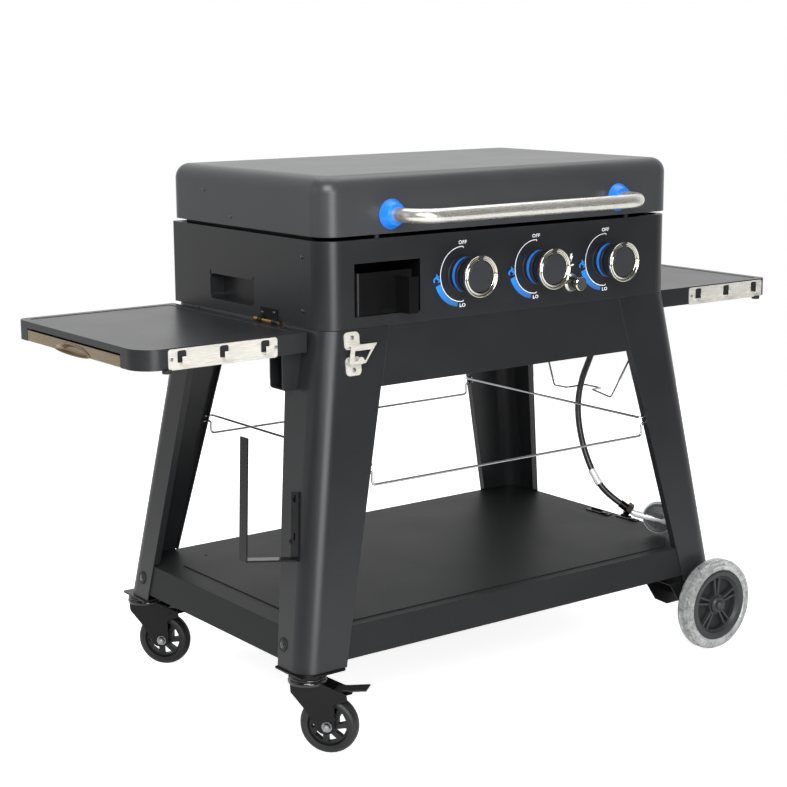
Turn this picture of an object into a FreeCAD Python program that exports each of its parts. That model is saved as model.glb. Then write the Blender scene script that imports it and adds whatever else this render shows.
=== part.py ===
import FreeCAD, Part
import math
import os

# Outdoor gas griddle station: a griddle head with a hinged lid stands on a wheeled cart with
# two fold-down side shelves. Lengths are millimetres and angles are degrees.
# Frame: +X to the cook's right, +Y to the back, +Z up, origin on the floor below the head.

V = FreeCAD.Vector
UP = V(0, 0, 1)
BACK = V(0, 1, 0)
RIGHT = V(1, 0, 0)

# Overall
STATION_H = 965.0
HEAD_W = 805.0
HEAD_D = 500.0
HEAD_STACK_H = 257.0
HEAD_Z = STATION_H - HEAD_STACK_H
HEAD_H = 149.6
LID_GAP = 6.9
SHEET = 1.5
CORNER_R = 38.0
HEAD_BACK_R = 8.0
SEAM = 0.6
RUN_FIT = 0.05
PART_GAP = 0.3

# Lid
LID_OVERHANG = 1.0
LID_TOP_R = 27.0
LID_BACK_R = 30.0
LID_HEM = 9.0
HANDLE_D = 25.0
HANDLE_SPAN = HEAD_W - 280.4
HANDLE_STAND_OFF = 79.0
HANDLE_BEND_R = 46.0
HANDLE_RISE = 32.5
HANDLE_BEZEL_D = 52.0
HANDLE_BEZEL_FACE_D = 37.0
HANDLE_BEZEL_H = 15.0
HINGE_X = HEAD_W / 2 - 117.5
HINGE_KNUCKLE = 20.0
HINGE_KNUCKLE_R = 3.3
HINGE_PIN_D = 3.0
HINGE_OUT = 3.4
HINGE_LEAF_T = 1.5
HINGE_LEAF_H = 34.0

# Head panels
PANEL_RETURN = 51.0
PANEL_FLANGE = 12.0
GRIP_FRONT_Y = -34.0
GRIP_BACK_Y = 115.0
GRIP_Z = HEAD_Z + 19.0
GRIP_H = 46.0
GRIP_DEPTH = 28.0
GRIP_CORNER_R = 10.0
GRIP_RELIEF = 6.0
GRIP_FLANGE = 9.0
VENT_COUNT = 9
VENT_W = 46.0
VENT_H = 5.0
VENT_PITCH = 72.0
VENT_Z = HEAD_Z + 98.0
FLOOR_T = 1.2

# Griddle plate
GRIDDLE_W = HEAD_W - 37.0
GRIDDLE_FRONT_Y = -HEAD_D / 2 + 36.0
GRIDDLE_BACK_Y = HEAD_D / 2 - 24.0
GRIDDLE_TOP_Z = HEAD_Z + 134.0
GRIDDLE_T = 6.0
GRIDDLE_WALL_T = 3.0
GRIDDLE_WALL_H = 30.0
GRIDDLE_LIP_H = 12.0
DRAIN_D = 26.0
DRAIN_X = -HEAD_W / 2 + 134.5
DRAIN_Y = GRIDDLE_FRONT_Y + 22.0
DRAIN_SPOUT_H = 20.0
GRIDDLE_FOOT_D = 14.0
GRIDDLE_FOOT_SIDE = 30.0
GRIDDLE_FOOT_BACK = 20.0
GRIDDLE_FOOT_FRONT = 130.0

# Controls
DIAL_X = (-108.4, 61.5, 232.0)
DIAL_Z = HEAD_Z + 75.0
KNOB_D = 74.0
KNOB_NECK_D = 58.0
KNOB_LENGTH = 26.8
KNOB_PROUD = 54.0
KNOB_TRAVEL = 3.0
KNOB_RING_W = 6.5
KNOB_RING_T = 5.0
KNOB_NOTCH = 5.0
STEM_D = 8.0
STEM_FLAT = 1.6
BEZEL_BASE_D = 60.0
BEZEL_BASE_H = 11.0
BEZEL_D = 62.5
BEZEL_FACE_D = 61.0
BEZEL_H = 23.5
BEZEL_WALL = 3.0
PANEL_STEM_HOLE = 14.0
IGNITER_X = 148.0
IGNITER_Z = DIAL_Z - 36.3
IGNITER_BODY_D = 22.0
IGNITER_BODY_L = 34.0
IGNITER_COLLAR_D = 34.0
IGNITER_COLLAR_H = 6.0
IGNITER_BARREL_D = 20.0
IGNITER_BARREL_H = 18.5
IGNITER_BUTTON_D = 26.0
IGNITER_SHANK_D = 14.0
IGNITER_PROUD = 29.5
IGNITER_TRAVEL = 5.0

# Grease cup
CUP_BAY_X0 = -HEAD_W / 2 + 62.5
CUP_BAY_X1 = CUP_BAY_X0 + 139.5
CUP_BAY_Z0 = HEAD_Z + 19.0
CUP_BAY_Z1 = CUP_BAY_Z0 + 90.5
CUP_BAY_DEPTH = 130.0
CUP_W = 119.0
CUP_X0 = CUP_BAY_X0 + 5.0
CUP_H = 73.0
CUP_DEPTH = 108.0
CUP_WALL = 1.2
CUP_EDGE_R = 9.0
CUP_SET_BACK = 3.0
CUP_FIN_X = CUP_BAY_X0 + 87.0
CUP_FIN_OUT = 40.0
CUP_FIN_TURN = 20.0
CUP_FIN_Z0 = CUP_BAY_Z0 + 2.5
CUP_FIN_Z1 = CUP_FIN_Z0 + 62.5

# Gas train
MANIFOLD_Z = HEAD_Z + 100.0
MANIFOLD_Y = -HEAD_D / 2 + 28.0
MANIFOLD_D = 20.0
INLET_X = HEAD_W / 2 - 52.5
INLET_Y = -HEAD_D / 2 + 136.0
INLET_Z = HEAD_Z - 18.0
BURNER_D = 26.0
BURNER_X = (-HEAD_W / 2 + 162.5, 0.0, HEAD_W / 2 - 166.5)
BURNER_FRONT_Y = -HEAD_D / 2 + 46.0
BURNER_BACK_Y = HEAD_D / 2 - 54.0
BURNER_TURN_Y = BURNER_FRONT_Y + 54.0
BURNER_STRAIGHT_Y = BURNER_TURN_Y + 110.0
NOZZLE_D = 9.0
HOSE_D = 12.5
FERRULE_D = 16.0
FERRULE_L = 26.0
NUT_ACROSS = 24.0
REGULATOR_D = 66.0
REGULATOR_T = 26.0
REGULATOR_CAP_D = 22.0
REGULATOR_OUTLET = (HEAD_W / 2 + 43.5, -HEAD_D / 2 + 12.0, 236.0)
REGULATOR_MIDDLE = 0.6
REGULATOR_CLEAR = 2.6

# Cart frame
LEG_FOOT_Z = 141.0
LEG_SEAM = 0.8
LEG_SPREAD_X = 91.42308
LEG_SPREAD_Y = 58.03245
LEG_FOOT_X = HEAD_W / 2 + LEG_SPREAD_X
LEG_FOOT_Y = HEAD_D / 2 + LEG_SPREAD_Y
LEG_SPLAY_X = LEG_SPREAD_X / (HEAD_Z - LEG_FOOT_Z)
LEG_SPLAY_Y = LEG_SPREAD_Y / (HEAD_Z - LEG_FOOT_Z)
LEG_T = 2.0
LEG_CORNER_R = 37.0
LEG_FLANGE = 14.0
LEG_FACE_TOP = 133.2
LEG_FACE_FOOT = 89.4
LEG_FRONT_SIDE_TOP = 114.0
LEG_FRONT_SIDE_FOOT = 78.0
LEG_BACK_SIDE_TOP = 92.0
LEG_BACK_SIDE_FOOT = 83.0
APRON_BOTTOM_Z = HEAD_Z - 102.0
APRON_FLANGE = 18.0
SIDE_RAIL_H = 50.0

# Bottom shelf
TRAY_TOP_Z = 208.3
TRAY_SKIRT = 55.6
TRAY_PANEL_HW = HEAD_W / 2 + 31.5
TRAY_PANEL_FRONT_Y = -HEAD_D / 2 - 27.0
TRAY_PANEL_BACK_Y = HEAD_D / 2 - 13.0
TRAY_PANEL_CUT = (56.0, 50.0)
TRAY_HOLE_XY = (TRAY_PANEL_HW - 68.0, 18.0)
TRAY_PANEL_RISE = 1.6
TRAY_PANEL_R = 12.0
TRAY_HOLE_D = 6.0

# Side shelves
SHELF_TOP_Z = HEAD_Z - 3.6
SHELF_RIM = 34.5
SHELF_OUT_X = HEAD_W / 2 + 324.2
SHELF_IN_X = HEAD_W / 2 + 7.1
SHELF_FRONT_Y = -HEAD_D / 2 + 41.3
SHELF_BACK_Y = HEAD_D / 2 - 10.3
SHELF_R = 18.0
SHELF_LEFT_FRONT_R = 42.0
SHELF_BORDER = 16.0
SHELF_BORDER_STEP = 0.8
SHELF_PIVOT_X = SHELF_IN_X + 21.4
SHELF_PIVOT_Z = SHELF_TOP_Z - 27.4
SHELF_PIN_D = 8.0
SHELF_EAR_T = 2.0
SHELF_EAR_R = 13.0
BRACKET_W = 40.0
BRACKET_FRONT_Y = SHELF_FRONT_Y + 17.7
BRACKET_BACK_Y = SHELF_BACK_Y - 48.7
BRACKET_OUT_X = SHELF_PIVOT_X + 17.0
BRACKET_FOOT_Z = SHELF_TOP_Z - 99.4
BRACKET_T = 2.5
SLOT_FRONT_Y = SHELF_FRONT_Y + 64.9
SLOT_BACK_Y = SHELF_BACK_Y - 41.2
SLOT_TOP_Z = SHELF_TOP_Z - 11.4
BOARD_FRONT_H = 18.7
BOARD_Z0 = SHELF_TOP_Z - 33.8
BOARD_T = 1.5
BOARD_DEPTH = 236.0
BOARD_SIDE_GAP = 1.5
BOARD_RUNNER = 9.0
PULL_Y = SLOT_FRONT_Y + 170.8
PULL_W = 128.0
PULL_H = 15.5
PULL_SAG = 5.0
PULL_BASE = 1.0
PULL_DEPTH = 8.0
PULL_RIM = 1.0
PULL_WALL = 1.4
PULL_FLOOR_SIZE = 0.62
STRIP_T = 1.5
STRIP_Z0 = SHELF_TOP_Z - 35.9
STRIP_Z1 = STRIP_Z0 + 34.0
STRIP_R = 5.0
STRIP_LEFT_X = (-SHELF_OUT_X + 50.7, -SHELF_IN_X - 59.9)
STRIP_RIGHT_X = (SHELF_IN_X + 90.4, SHELF_OUT_X - 17.2)
STRIP_LEFT_WINDOWS = tuple(STRIP_LEFT_X[0] + d for d in (25.0, 104.0, 183.0))
STRIP_RIGHT_WINDOWS = tuple(STRIP_RIGHT_X[0] + d for d in (26.0, 105.5, 186.0))
WINDOW_W = 17.0
WINDOW_Z0 = STRIP_Z0 + 11.5
WINDOW_Z1 = WINDOW_Z0 + 19.5
TAB_W = 13.0
TAB_OUT = 14.0
TAB_UP = 13.0

# Wire goods
RAIL_D = 4.6
RAIL_BEND_R = 7.0
RAIL_HOOK_Z = HEAD_Z - 245.0
SIDE_RAIL_Z = RAIL_HOOK_Z + 10.5
RAIL_INBOARD = 9.0
RAIL_TAIL = 8.0
RAIL_FRONT_Z = RAIL_HOOK_Z - 25.0
RAIL_HOLE_GAP = 0.3
HANGER_D = 3.6
HANGER_X = HEAD_W / 2 - 66.5
HANGER_TOP_Z = HEAD_Z - 16.0
HANGER_LOOP_Z = HANGER_TOP_Z - 197.0
HANGER_BACK_Y = HEAD_D / 2 - 118.0
HANGER_FRONT_Y = -HEAD_D / 2 + 45.0
HANGER_BEND_R = 6.0

# Towel post
POST_STRIP_W = 22.0
POST_STRIP_T = 3.0
POST_PLATE_H = 114.0
POST_PLATE_Z = HEAD_Z - 326.0
POST_PLATE_Y = -HEAD_D / 2 + 15.0
POST_ARM_L = 106.0
POST_UPRIGHT_H = 208.0
POST_TILT = 11.0

# Bottle opener
OPENER_T = 2.2
OPENER_X = -HEAD_W / 2 + 53.5
OPENER_TOP = 4.0
OPENER_STEP = 26.0
OPENER_PLATE_FOOT = 58.0
OPENER_FOOT = 78.0
OPENER_EAR_W = 31.0
OPENER_PLATE_W = 60.0
OPENER_OUT = 12.0

# Casters on the left legs
CASTER_X = LEG_FOOT_X - 26.62308
CASTER_Y = LEG_FOOT_Y - 26.83245
CASTER_D = 102.0
CASTER_W = 30.0
CASTER_TRAIL = 38.0
CASTER_HEADING = -50.0
CASTER_HUB_D = 26.0
CASTER_AXLE_D = 8.0
CASTER_RIM_D = 72.0
CASTER_SPOKES = 7
CASTER_PLATE_W = 90.0
CASTER_PLATE_D = 86.0
CASTER_PLATE_T = 3.0
RACE_D = 62.0
KINGPIN_D = 12.0
FORK_GAP = 1.5
FORK_T = 2.5
FORK_TOP_Z = 130.4
FORK_CROWN_H = 9.0
PEDAL_W = 26.0
PEDAL_T = 2.5
PEDAL_PIVOT_X = 56.0
PEDAL_PIVOT_Z = 109.0
PEDAL_PIN_D = 5.0
PEDAL_L = 50.0

# Big wheels on the right legs
WHEEL_D = 180.0
WHEEL_W = 34.0
WHEEL_X = LEG_FOOT_X - 27.92308
WHEEL_OUT_Y = LEG_FOOT_Y + 39.36755
WHEEL_RIM_D = 140.0
WHEEL_HUB_D = 34.0
WHEEL_WINDOW_D = 108.0
WHEEL_SPOKE_PAIRS = 5
WHEEL_SPOKE_W = 6.0
WHEEL_BACK_T = 2.5
WHEEL_WEB_T = 10.0
WHEEL_AXLE_D = 12.0
TREAD_COUNT = 36
TREAD_DEPTH = 2.5
AXLE_BRACKET_X0 = WHEEL_X - 100.0
AXLE_BRACKET_W = 78.0
AXLE_BRACKET_T = 2.5
AXLE_BRACKET_FOOT_Z = 70.0

# Head lock
LOCK_Y0 = -110.0
LOCK_Y1 = -56.0
LOCK_Z0 = HEAD_Z + 1.0
LOCK_Z1 = LOCK_Z0 + 22.0
LOCK_EYE_D = 9.0
LOCK_EYE_L = 10.0
LOCK_LUG_Y = -117.0
LOCK_LUG_T = 2.5
LOCK_PIN_D = 6.0
LOCK_PIN_X = HEAD_W / 2 + 4.8
LOCK_PIN_Z = HEAD_Z + 0.6
LOCK_GRIP_Y = -53.0
LOCK_GRIP_D = 8.4
LOCK_GRIP_L = 9.0

# Derived places
HEAD_HW = HEAD_W / 2
HEAD_HD = HEAD_D / 2
HEAD_TOP_Z = HEAD_Z + HEAD_H
LID_Z = HEAD_TOP_Z + LID_GAP
HANDLE_Z = LID_Z + HANDLE_RISE
LID_HW = HEAD_HW + LID_OVERHANG
LID_HD = HEAD_HD + LID_OVERHANG
HINGE_Y = LID_HD + HINGE_OUT
HINGE_Z = HEAD_TOP_Z + LID_GAP / 2
HINGE_LEAF_W = 3 * HINGE_KNUCKLE
FRONT_FACE_Y = -HEAD_HD
PANEL_BACK_Y = -HEAD_HD + PANEL_RETURN
LEG_TOP_Z = HEAD_Z - LEG_SEAM

NODES = {}


def keep(name, *solids):
    """Files the solids of one node under its name."""
    NODES[name] = solids[0] if len(solids) == 1 else Part.makeCompound(list(solids))


def box(x0, x1, y0, y1, z0, z1):
    """Block between two corners."""
    return Part.makeBox(x1 - x0, y1 - y0, z1 - z0, V(x0, y0, z0))


def rod(start, direction, diameter, length):
    """Solid round bar."""
    return Part.makeCylinder(diameter / 2, length, start, direction)


def cone(start, direction, d0, d1, length):
    """Solid truncated cone."""
    return Part.makeCone(d0 / 2, d1 / 2, length, start, direction)


def join(*shapes):
    """One solid from shapes that meet."""
    return shapes[0].fuse(list(shapes[1:])).removeSplitter()


def mirror_x(shape):
    return shape.mirror(V(0, 0, 0), RIGHT)


def mirror_y(shape):
    return shape.mirror(V(0, 0, 0), BACK)


def prism(points, depth):
    """Extrusion of a straight-sided outline."""
    outline = [V(*p) for p in points]
    return Part.Face(Part.makePolygon(outline + [outline[0]])).extrude(depth)


def rounded_wire(corners):
    """Closed outline through (point, radius) corners."""
    count = len(corners)
    starts, ends, middles = [], [], []
    for i, (point, radius) in enumerate(corners):
        before = (corners[i - 1][0] - point).normalize()
        after = (corners[(i + 1) % count][0] - point).normalize()
        half = before.getAngle(after) / 2
        reach = radius / math.tan(half)
        starts.append(point + before * reach)
        ends.append(point + after * reach)
        bisector = (before + after).normalize() if radius else V(0, 0, 0)
        middles.append(point + bisector * (radius / math.sin(half) - radius))
    edges = []
    for i, (point, radius) in enumerate(corners):
        if radius:
            edges.append(Part.Arc(starts[i], middles[i], ends[i]).toShape())
        after = starts[(i + 1) % count]
        if (after - ends[i]).Length > 1e-6:
            edges.append(Part.LineSegment(ends[i], after).toShape())
    return Part.Wire(edges)


def plan_wire(x0, x1, y0, y1, radii, z):
    """Rounded rectangle; radii run front left, front right, back right, back left."""
    points = ((x0, y0), (x1, y0), (x1, y1), (x0, y1))
    return rounded_wire([(V(x, y, z), r) for (x, y), r in zip(points, radii)])


def plan_block(x0, x1, y0, y1, radii, z0, z1):
    """Rounded rectangle extruded from z0 to z1."""
    return Part.Face(plan_wire(x0, x1, y0, y1, radii, z0)).extrude(V(0, 0, z1 - z0))


def route(points, radii):
    """Open path of straight runs joined by tangent arcs."""
    edges = []
    here = points[0]
    for i in range(1, len(points) - 1):
        point = points[i]
        before = (points[i - 1] - point).normalize()
        after = (points[i + 1] - point).normalize()
        half = before.getAngle(after) / 2
        reach = radii[i - 1] / math.tan(half)
        start = point + before * reach
        end = point + after * reach
        bisector = (before + after).normalize()
        middle = point + bisector * (radii[i - 1] / math.sin(half) - radii[i - 1])
        edges.append(Part.LineSegment(here, start).toShape())
        edges.append(Part.Arc(start, middle, end).toShape())
        here = end
    edges.append(Part.LineSegment(here, points[-1]).toShape())
    return Part.Wire(edges)


def tube(path, diameter):
    """Round bar along a path of straight runs and arcs."""
    runs = []
    for edge in path.OrderedEdges:
        start = edge.valueAt(edge.FirstParameter)
        tangent = edge.tangentAt(edge.FirstParameter)
        disc = Part.Face(Part.Wire([Part.Circle(start, tangent, diameter / 2).toShape()]))
        if edge.Curve.TypeId == "Part::GeomCircle":
            turn = math.degrees(edge.LastParameter - edge.FirstParameter)
            runs.append(disc.revolve(edge.Curve.Center, edge.Curve.Axis, turn))
        else:
            runs.append(disc.extrude(edge.valueAt(edge.LastParameter) - start))
    return join(*runs)


def wire_form(points, diameter, bend):
    """Bent wire with one bend radius."""
    places = [V(*p) for p in points]
    return tube(route(places, [bend] * (len(places) - 2)), diameter)


def revolve(profile, origin, axis, angle=360):
    """Solid of revolution of a straight-sided profile."""
    outline = [V(*p) for p in profile]
    face = Part.Face(Part.makePolygon(outline + [outline[0]]))
    return face.revolve(origin, axis, angle)


def hexagon(centre, direction, across, height):
    """Hexagonal nut blank."""
    radius = across / math.sqrt(3)
    points = [(radius * math.cos(math.radians(60 * i)), radius * math.sin(math.radians(60 * i)), 0)
              for i in range(6)]
    blank = prism(points, V(0, 0, height))
    blank.Placement = FreeCAD.Placement(centre, FreeCAD.Rotation(UP, direction))
    return blank


# Head sheet metal


def head_block(inset, z0, z1):
    """The head's plan outline, drawn in by an inset."""
    front = CORNER_R - inset
    back = max(HEAD_BACK_R - inset, 1.0)
    hw = HEAD_HW - inset
    hd = HEAD_HD - inset
    return plan_block(-hw, hw, -hd, hd, (front, front, back, back), z0, z1)


def head_skin():
    """Upright wall of the head with its turned-in top and bottom flanges."""
    wall = head_block(0, HEAD_Z, HEAD_TOP_Z).cut(head_block(SHEET, HEAD_Z, HEAD_TOP_Z))
    rim = head_block(0, HEAD_Z, HEAD_Z + SHEET).cut(head_block(PANEL_FLANGE, HEAD_Z, HEAD_Z + SHEET))
    top = rim.translated(V(0, 0, HEAD_H - SHEET))
    return wall.fuse(rim).fuse(top)


def head_side(y0, y1):
    """Space that holds one y range of the head."""
    reach = HEAD_HW + 10
    return box(-reach, reach, y0, y1, HEAD_Z - 10, HEAD_TOP_Z + 10)


def head_front_panel():
    """Front panel that wraps both front corners."""
    panel = head_skin().common(head_side(-HEAD_HD - 10, PANEL_BACK_Y)).removeSplitter()
    y0 = FRONT_FACE_Y - 1
    y1 = FRONT_FACE_Y + SHEET + 1
    panel = panel.cut(box(CUP_BAY_X0, CUP_BAY_X1, y0, y1, CUP_BAY_Z0, CUP_BAY_Z1))
    for x in DIAL_X:
        panel = panel.cut(rod(V(x, y0, DIAL_Z), BACK, PANEL_STEM_HOLE, y1 - y0))
    return panel.cut(rod(V(IGNITER_X, y0, IGNITER_Z), BACK, IGNITER_BODY_D, y1 - y0))


def grip_pocket_hollow():
    """Space of the left grip pocket."""
    x0 = -HEAD_HW - 1
    hollow = box(x0, -HEAD_HW + GRIP_DEPTH, GRIP_FRONT_Y, GRIP_BACK_Y, GRIP_Z, GRIP_Z + GRIP_H)
    lengthwise = [e for e in hollow.Edges if abs(e.tangentAt(0).x) > 0.9]
    return hollow.makeFillet(GRIP_CORNER_R, lengthwise)


def grip_pocket():
    """Pressed cup behind the left grip opening, with the flange that holds it to the wall."""
    x0 = -HEAD_HW + SHEET
    y0 = GRIP_FRONT_Y - SHEET
    y1 = GRIP_BACK_Y + SHEET
    z0 = GRIP_Z - SHEET
    z1 = GRIP_Z + GRIP_H + SHEET
    cup = box(x0, -HEAD_HW + GRIP_DEPTH + SHEET, y0, y1, z0, z1)
    lengthwise = [e for e in cup.Edges if abs(e.tangentAt(0).x) > 0.9]
    cup = cup.makeFillet(GRIP_CORNER_R + SHEET, lengthwise)
    f = GRIP_FLANGE
    flange = box(x0, x0 + SHEET, y0 - f, y1 + f, z0 - f, z1 + f)
    return cup.fuse(flange).cut(grip_pocket_hollow()).removeSplitter()


def head_wrap():
    """Side and back walls in one sheet, with an opening in each side for a grip pocket."""
    wrap = head_skin().common(head_side(PANEL_BACK_Y + SEAM, HEAD_HD + 10)).removeSplitter()
    relief = box(-HEAD_HW - 1, -HEAD_HW + SHEET, GRIP_FRONT_Y, GRIP_FRONT_Y + GRIP_RELIEF,
                 GRIP_Z + GRIP_H / 2, GRIP_Z + GRIP_H + GRIP_RELIEF)
    far_relief = relief.translated(V(0, GRIP_BACK_Y - GRIP_FRONT_Y - GRIP_RELIEF, 0))
    for side in (lambda s: s, mirror_x):
        wrap = wrap.cut(side(grip_pocket_hollow())).cut(side(relief)).cut(side(far_relief))
    for i in range(VENT_COUNT):
        x = (i - (VENT_COUNT - 1) / 2) * VENT_PITCH
        wrap = wrap.cut(box(x - VENT_W / 2, x + VENT_W / 2, HEAD_HD - 5, HEAD_HD + 5,
                            VENT_Z, VENT_Z + VENT_H))
    return wrap.removeSplitter()


def head_floor():
    """Base pan that lies on the bottom flanges."""
    z = HEAD_Z + SHEET
    pan = head_block(SHEET + PART_GAP, z, z + FLOOR_T)
    hole = rod(V(INLET_X, INLET_Y, z - 5), UP, MANIFOLD_D + 6, 10)
    pan = pan.cut(hole)
    for x in BURNER_X:
        for y in (-60.0, 60.0):
            pan = pan.cut(box(x - 40, x + 40, y - 4, y + 4, z - 1, z + FLOOR_T + 1))
    return pan


def griddle_plate():
    """Cooking plate with its splash walls, front lip, drain spout and four levelling feet."""
    hw = GRIDDLE_W / 2
    z0 = GRIDDLE_TOP_Z - GRIDDLE_T
    plate = box(-hw, hw, GRIDDLE_FRONT_Y, GRIDDLE_BACK_Y, z0, GRIDDLE_TOP_Z)
    t = GRIDDLE_WALL_T
    back = box(-hw, hw, GRIDDLE_BACK_Y - t, GRIDDLE_BACK_Y, z0, GRIDDLE_TOP_Z + GRIDDLE_WALL_H)
    lip = box(-hw, hw, GRIDDLE_FRONT_Y, GRIDDLE_FRONT_Y + t, z0, GRIDDLE_TOP_Z + GRIDDLE_LIP_H)
    slope_y = GRIDDLE_FRONT_Y + 3 * GRIDDLE_WALL_H
    side = prism([(-hw, GRIDDLE_FRONT_Y, z0), (-hw, GRIDDLE_BACK_Y, z0),
                  (-hw, GRIDDLE_BACK_Y, GRIDDLE_TOP_Z + GRIDDLE_WALL_H),
                  (-hw, slope_y, GRIDDLE_TOP_Z + GRIDDLE_WALL_H),
                  (-hw, GRIDDLE_FRONT_Y, GRIDDLE_TOP_Z + GRIDDLE_LIP_H)], V(t, 0, 0))
    plate = join(plate, back, lip, side, mirror_x(side))
    spout = rod(V(DRAIN_X, DRAIN_Y, z0 - DRAIN_SPOUT_H), UP, DRAIN_D + 2 * t, DRAIN_SPOUT_H)
    plate = plate.fuse(spout)
    plate = plate.cut(rod(V(DRAIN_X, DRAIN_Y, z0 - DRAIN_SPOUT_H - 1), UP, DRAIN_D, 60))
    foot_z = HEAD_Z + SHEET + FLOOR_T
    back_y = GRIDDLE_BACK_Y - GRIDDLE_FOOT_BACK
    foot = rod(V(hw - GRIDDLE_FOOT_SIDE, back_y, foot_z), UP, GRIDDLE_FOOT_D, z0 - foot_z)
    front_foot = foot.translated(V(0, GRIDDLE_FRONT_Y + GRIDDLE_FOOT_FRONT - back_y, 0))
    return join(plate, foot, mirror_x(foot), front_foot, mirror_x(front_foot))


# Lid


def lid_shell():
    """Deep lid with rounded top edges, upright rounded corners and a turned-in hem."""

    def shape(inset, z0):
        front = CORNER_R - inset
        back = LID_BACK_R - inset
        hw = LID_HW - inset
        hd = LID_HD - inset
        block = plan_block(-hw, hw, -hd, hd, (front, front, back, back), z0, STATION_H - inset)
        top = [e for e in block.Edges if e.BoundBox.ZMin > STATION_H - inset - 0.01]
        return block.makeFillet(LID_TOP_R - inset, top)

    hem_z = LID_Z + SHEET
    hem_hollow = plan_block(-LID_HW + LID_HEM, LID_HW - LID_HEM, -LID_HD + LID_HEM, LID_HD - LID_HEM,
                            (CORNER_R - LID_HEM,) * 2 + (LID_BACK_R - LID_HEM,) * 2, LID_Z - 1, hem_z + 1)
    return shape(0, LID_Z).cut(shape(SHEET, hem_z)).cut(hem_hollow)


def lid_handle():
    """Bent tube across the front of the lid."""
    x = HANDLE_SPAN / 2
    y0 = -LID_HD
    y1 = y0 - HANDLE_STAND_OFF
    z = HANDLE_Z
    return wire_form([(-x, y0, z), (-x, y1, z), (x, y1, z), (x, y0, z)], HANDLE_D, HANDLE_BEND_R)


def lid_handle_bezel(x):
    """Coloured collar between the handle tube and the lid."""
    start = V(x, -LID_HD, HANDLE_Z)
    front = V(0, -1, 0)
    skirt = cone(start, front, HANDLE_BEZEL_D, HANDLE_BEZEL_FACE_D, HANDLE_BEZEL_H)
    return skirt.cut(rod(start, front, HANDLE_D + 2 * RUN_FIT, HANDLE_BEZEL_H))


def hinge_barrel(x0, length, bore):
    """One knuckle on the hinge line."""
    start = V(x0, HINGE_Y, HINGE_Z)
    barrel = rod(start, RIGHT, 2 * HINGE_KNUCKLE_R, length)
    return barrel.cut(rod(start, RIGHT, bore, length)) if bore else barrel


def lid_hinge_leaf(x):
    """Upper leaf: two outer knuckles and a plate on the back of the lid."""
    x0 = x - HINGE_LEAF_W / 2
    gap = PART_GAP
    plate = box(x0, x0 + HINGE_LEAF_W, LID_HD, LID_HD + HINGE_LEAF_T,
                HINGE_Z + HINGE_KNUCKLE_R + 1, HINGE_Z + HINGE_LEAF_H)
    leaf = plate
    bore = HINGE_PIN_D + 2 * RUN_FIT
    for start in (x0, x0 + 2 * HINGE_KNUCKLE + gap):
        length = HINGE_KNUCKLE - gap
        tab = box(start, start + length, LID_HD, LID_HD + HINGE_LEAF_T + 1,
                  HINGE_Z + HINGE_PIN_D / 2 + 0.6, HINGE_Z + HINGE_KNUCKLE_R + 1.5)
        leaf = leaf.fuse(tab).fuse(hinge_barrel(start, length, bore))
    return leaf.cut(rod(V(x0, HINGE_Y, HINGE_Z), RIGHT, bore, HINGE_LEAF_W)).removeSplitter()


def body_hinge_leaf(x):
    """Lower leaf: centre knuckle with the pin in it and a plate on the back of the head."""
    x0 = x - HINGE_LEAF_W / 2
    plate = box(x0, x0 + HINGE_LEAF_W, HEAD_HD, HEAD_HD + HINGE_LEAF_T,
                HINGE_Z - HINGE_LEAF_H, HEAD_TOP_Z - 2)
    start = x0 + HINGE_KNUCKLE
    neck = box(start, start + HINGE_KNUCKLE, HEAD_HD, HINGE_Y, HEAD_TOP_Z - 3, HINGE_Z - HINGE_KNUCKLE_R + 0.6)
    leaf = join(plate, neck, hinge_barrel(start, HINGE_KNUCKLE, 0))
    return leaf.fuse(rod(V(x0, HINGE_Y, HINGE_Z), RIGHT, HINGE_PIN_D, HINGE_LEAF_W)).removeSplitter()


# Controls

FRONT = V(0, -1, 0)
KNOB_FRONT_Y = FRONT_FACE_Y - KNOB_PROUD
KNOB_BACK_Y = KNOB_FRONT_Y + KNOB_LENGTH
STEM_TIP_Y = KNOB_FRONT_Y + 12.0
VALVE_FRONT_Y = FRONT_FACE_Y + SHEET + 4.0


def ring_profile(points, x, z):
    """Profile points (radius, y) set on the +X side of an axis along Y."""
    return [(x + r, y, z) for r, y in points]


def knob(x):
    """Control knob: ribbed grip, recessed face and a bright front ring with a notch at the top."""
    r = KNOB_D / 2
    neck = KNOB_NECK_D / 2
    ring_in = r - KNOB_RING_W
    y0 = KNOB_FRONT_Y
    y1 = KNOB_BACK_Y
    t = KNOB_RING_T
    centre = V(x, 0, DIAL_Z)
    body = revolve(ring_profile([(0, y0 + 1.2), (ring_in - 0.8, y0 + 1.2), (ring_in, y0 + t), (r - 1.5, y0 + t),
                                 (r - 3, y0 + t + 8), (neck, y1 - 4), (neck - 2, y1), (0, y1)], x, DIAL_Z),
                   centre, BACK)
    ring = revolve(ring_profile([(ring_in, y0 + 1.0), (ring_in + 1.5, y0), (r - 1.5, y0), (r, y0 + 1.5),
                                 (r, y0 + t - 1), (r - 1.5, y0 + t), (ring_in, y0 + t)], x, DIAL_Z),
                   centre, BACK)
    notch = box(x - KNOB_NOTCH / 2, x + KNOB_NOTCH / 2, y0 - 1, y0 + t, DIAL_Z + ring_in - 1, DIAL_Z + r + 1)
    ring = ring.cut(notch)
    bore = stem_section(x, STEM_TIP_Y, y1 - STEM_TIP_Y, STEM_D + 2 * RUN_FIT, STEM_FLAT - RUN_FIT)
    return body.cut(bore), ring


def stem_section(x, y, length, diameter, flat):
    """D-shaped length of valve stem."""
    bar = rod(V(x, y, DIAL_Z), BACK, diameter, length)
    return bar.cut(box(x - diameter, x + diameter, y - 1, y + length + 1,
                       DIAL_Z + STEM_D / 2 - flat, DIAL_Z + diameter))


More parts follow.
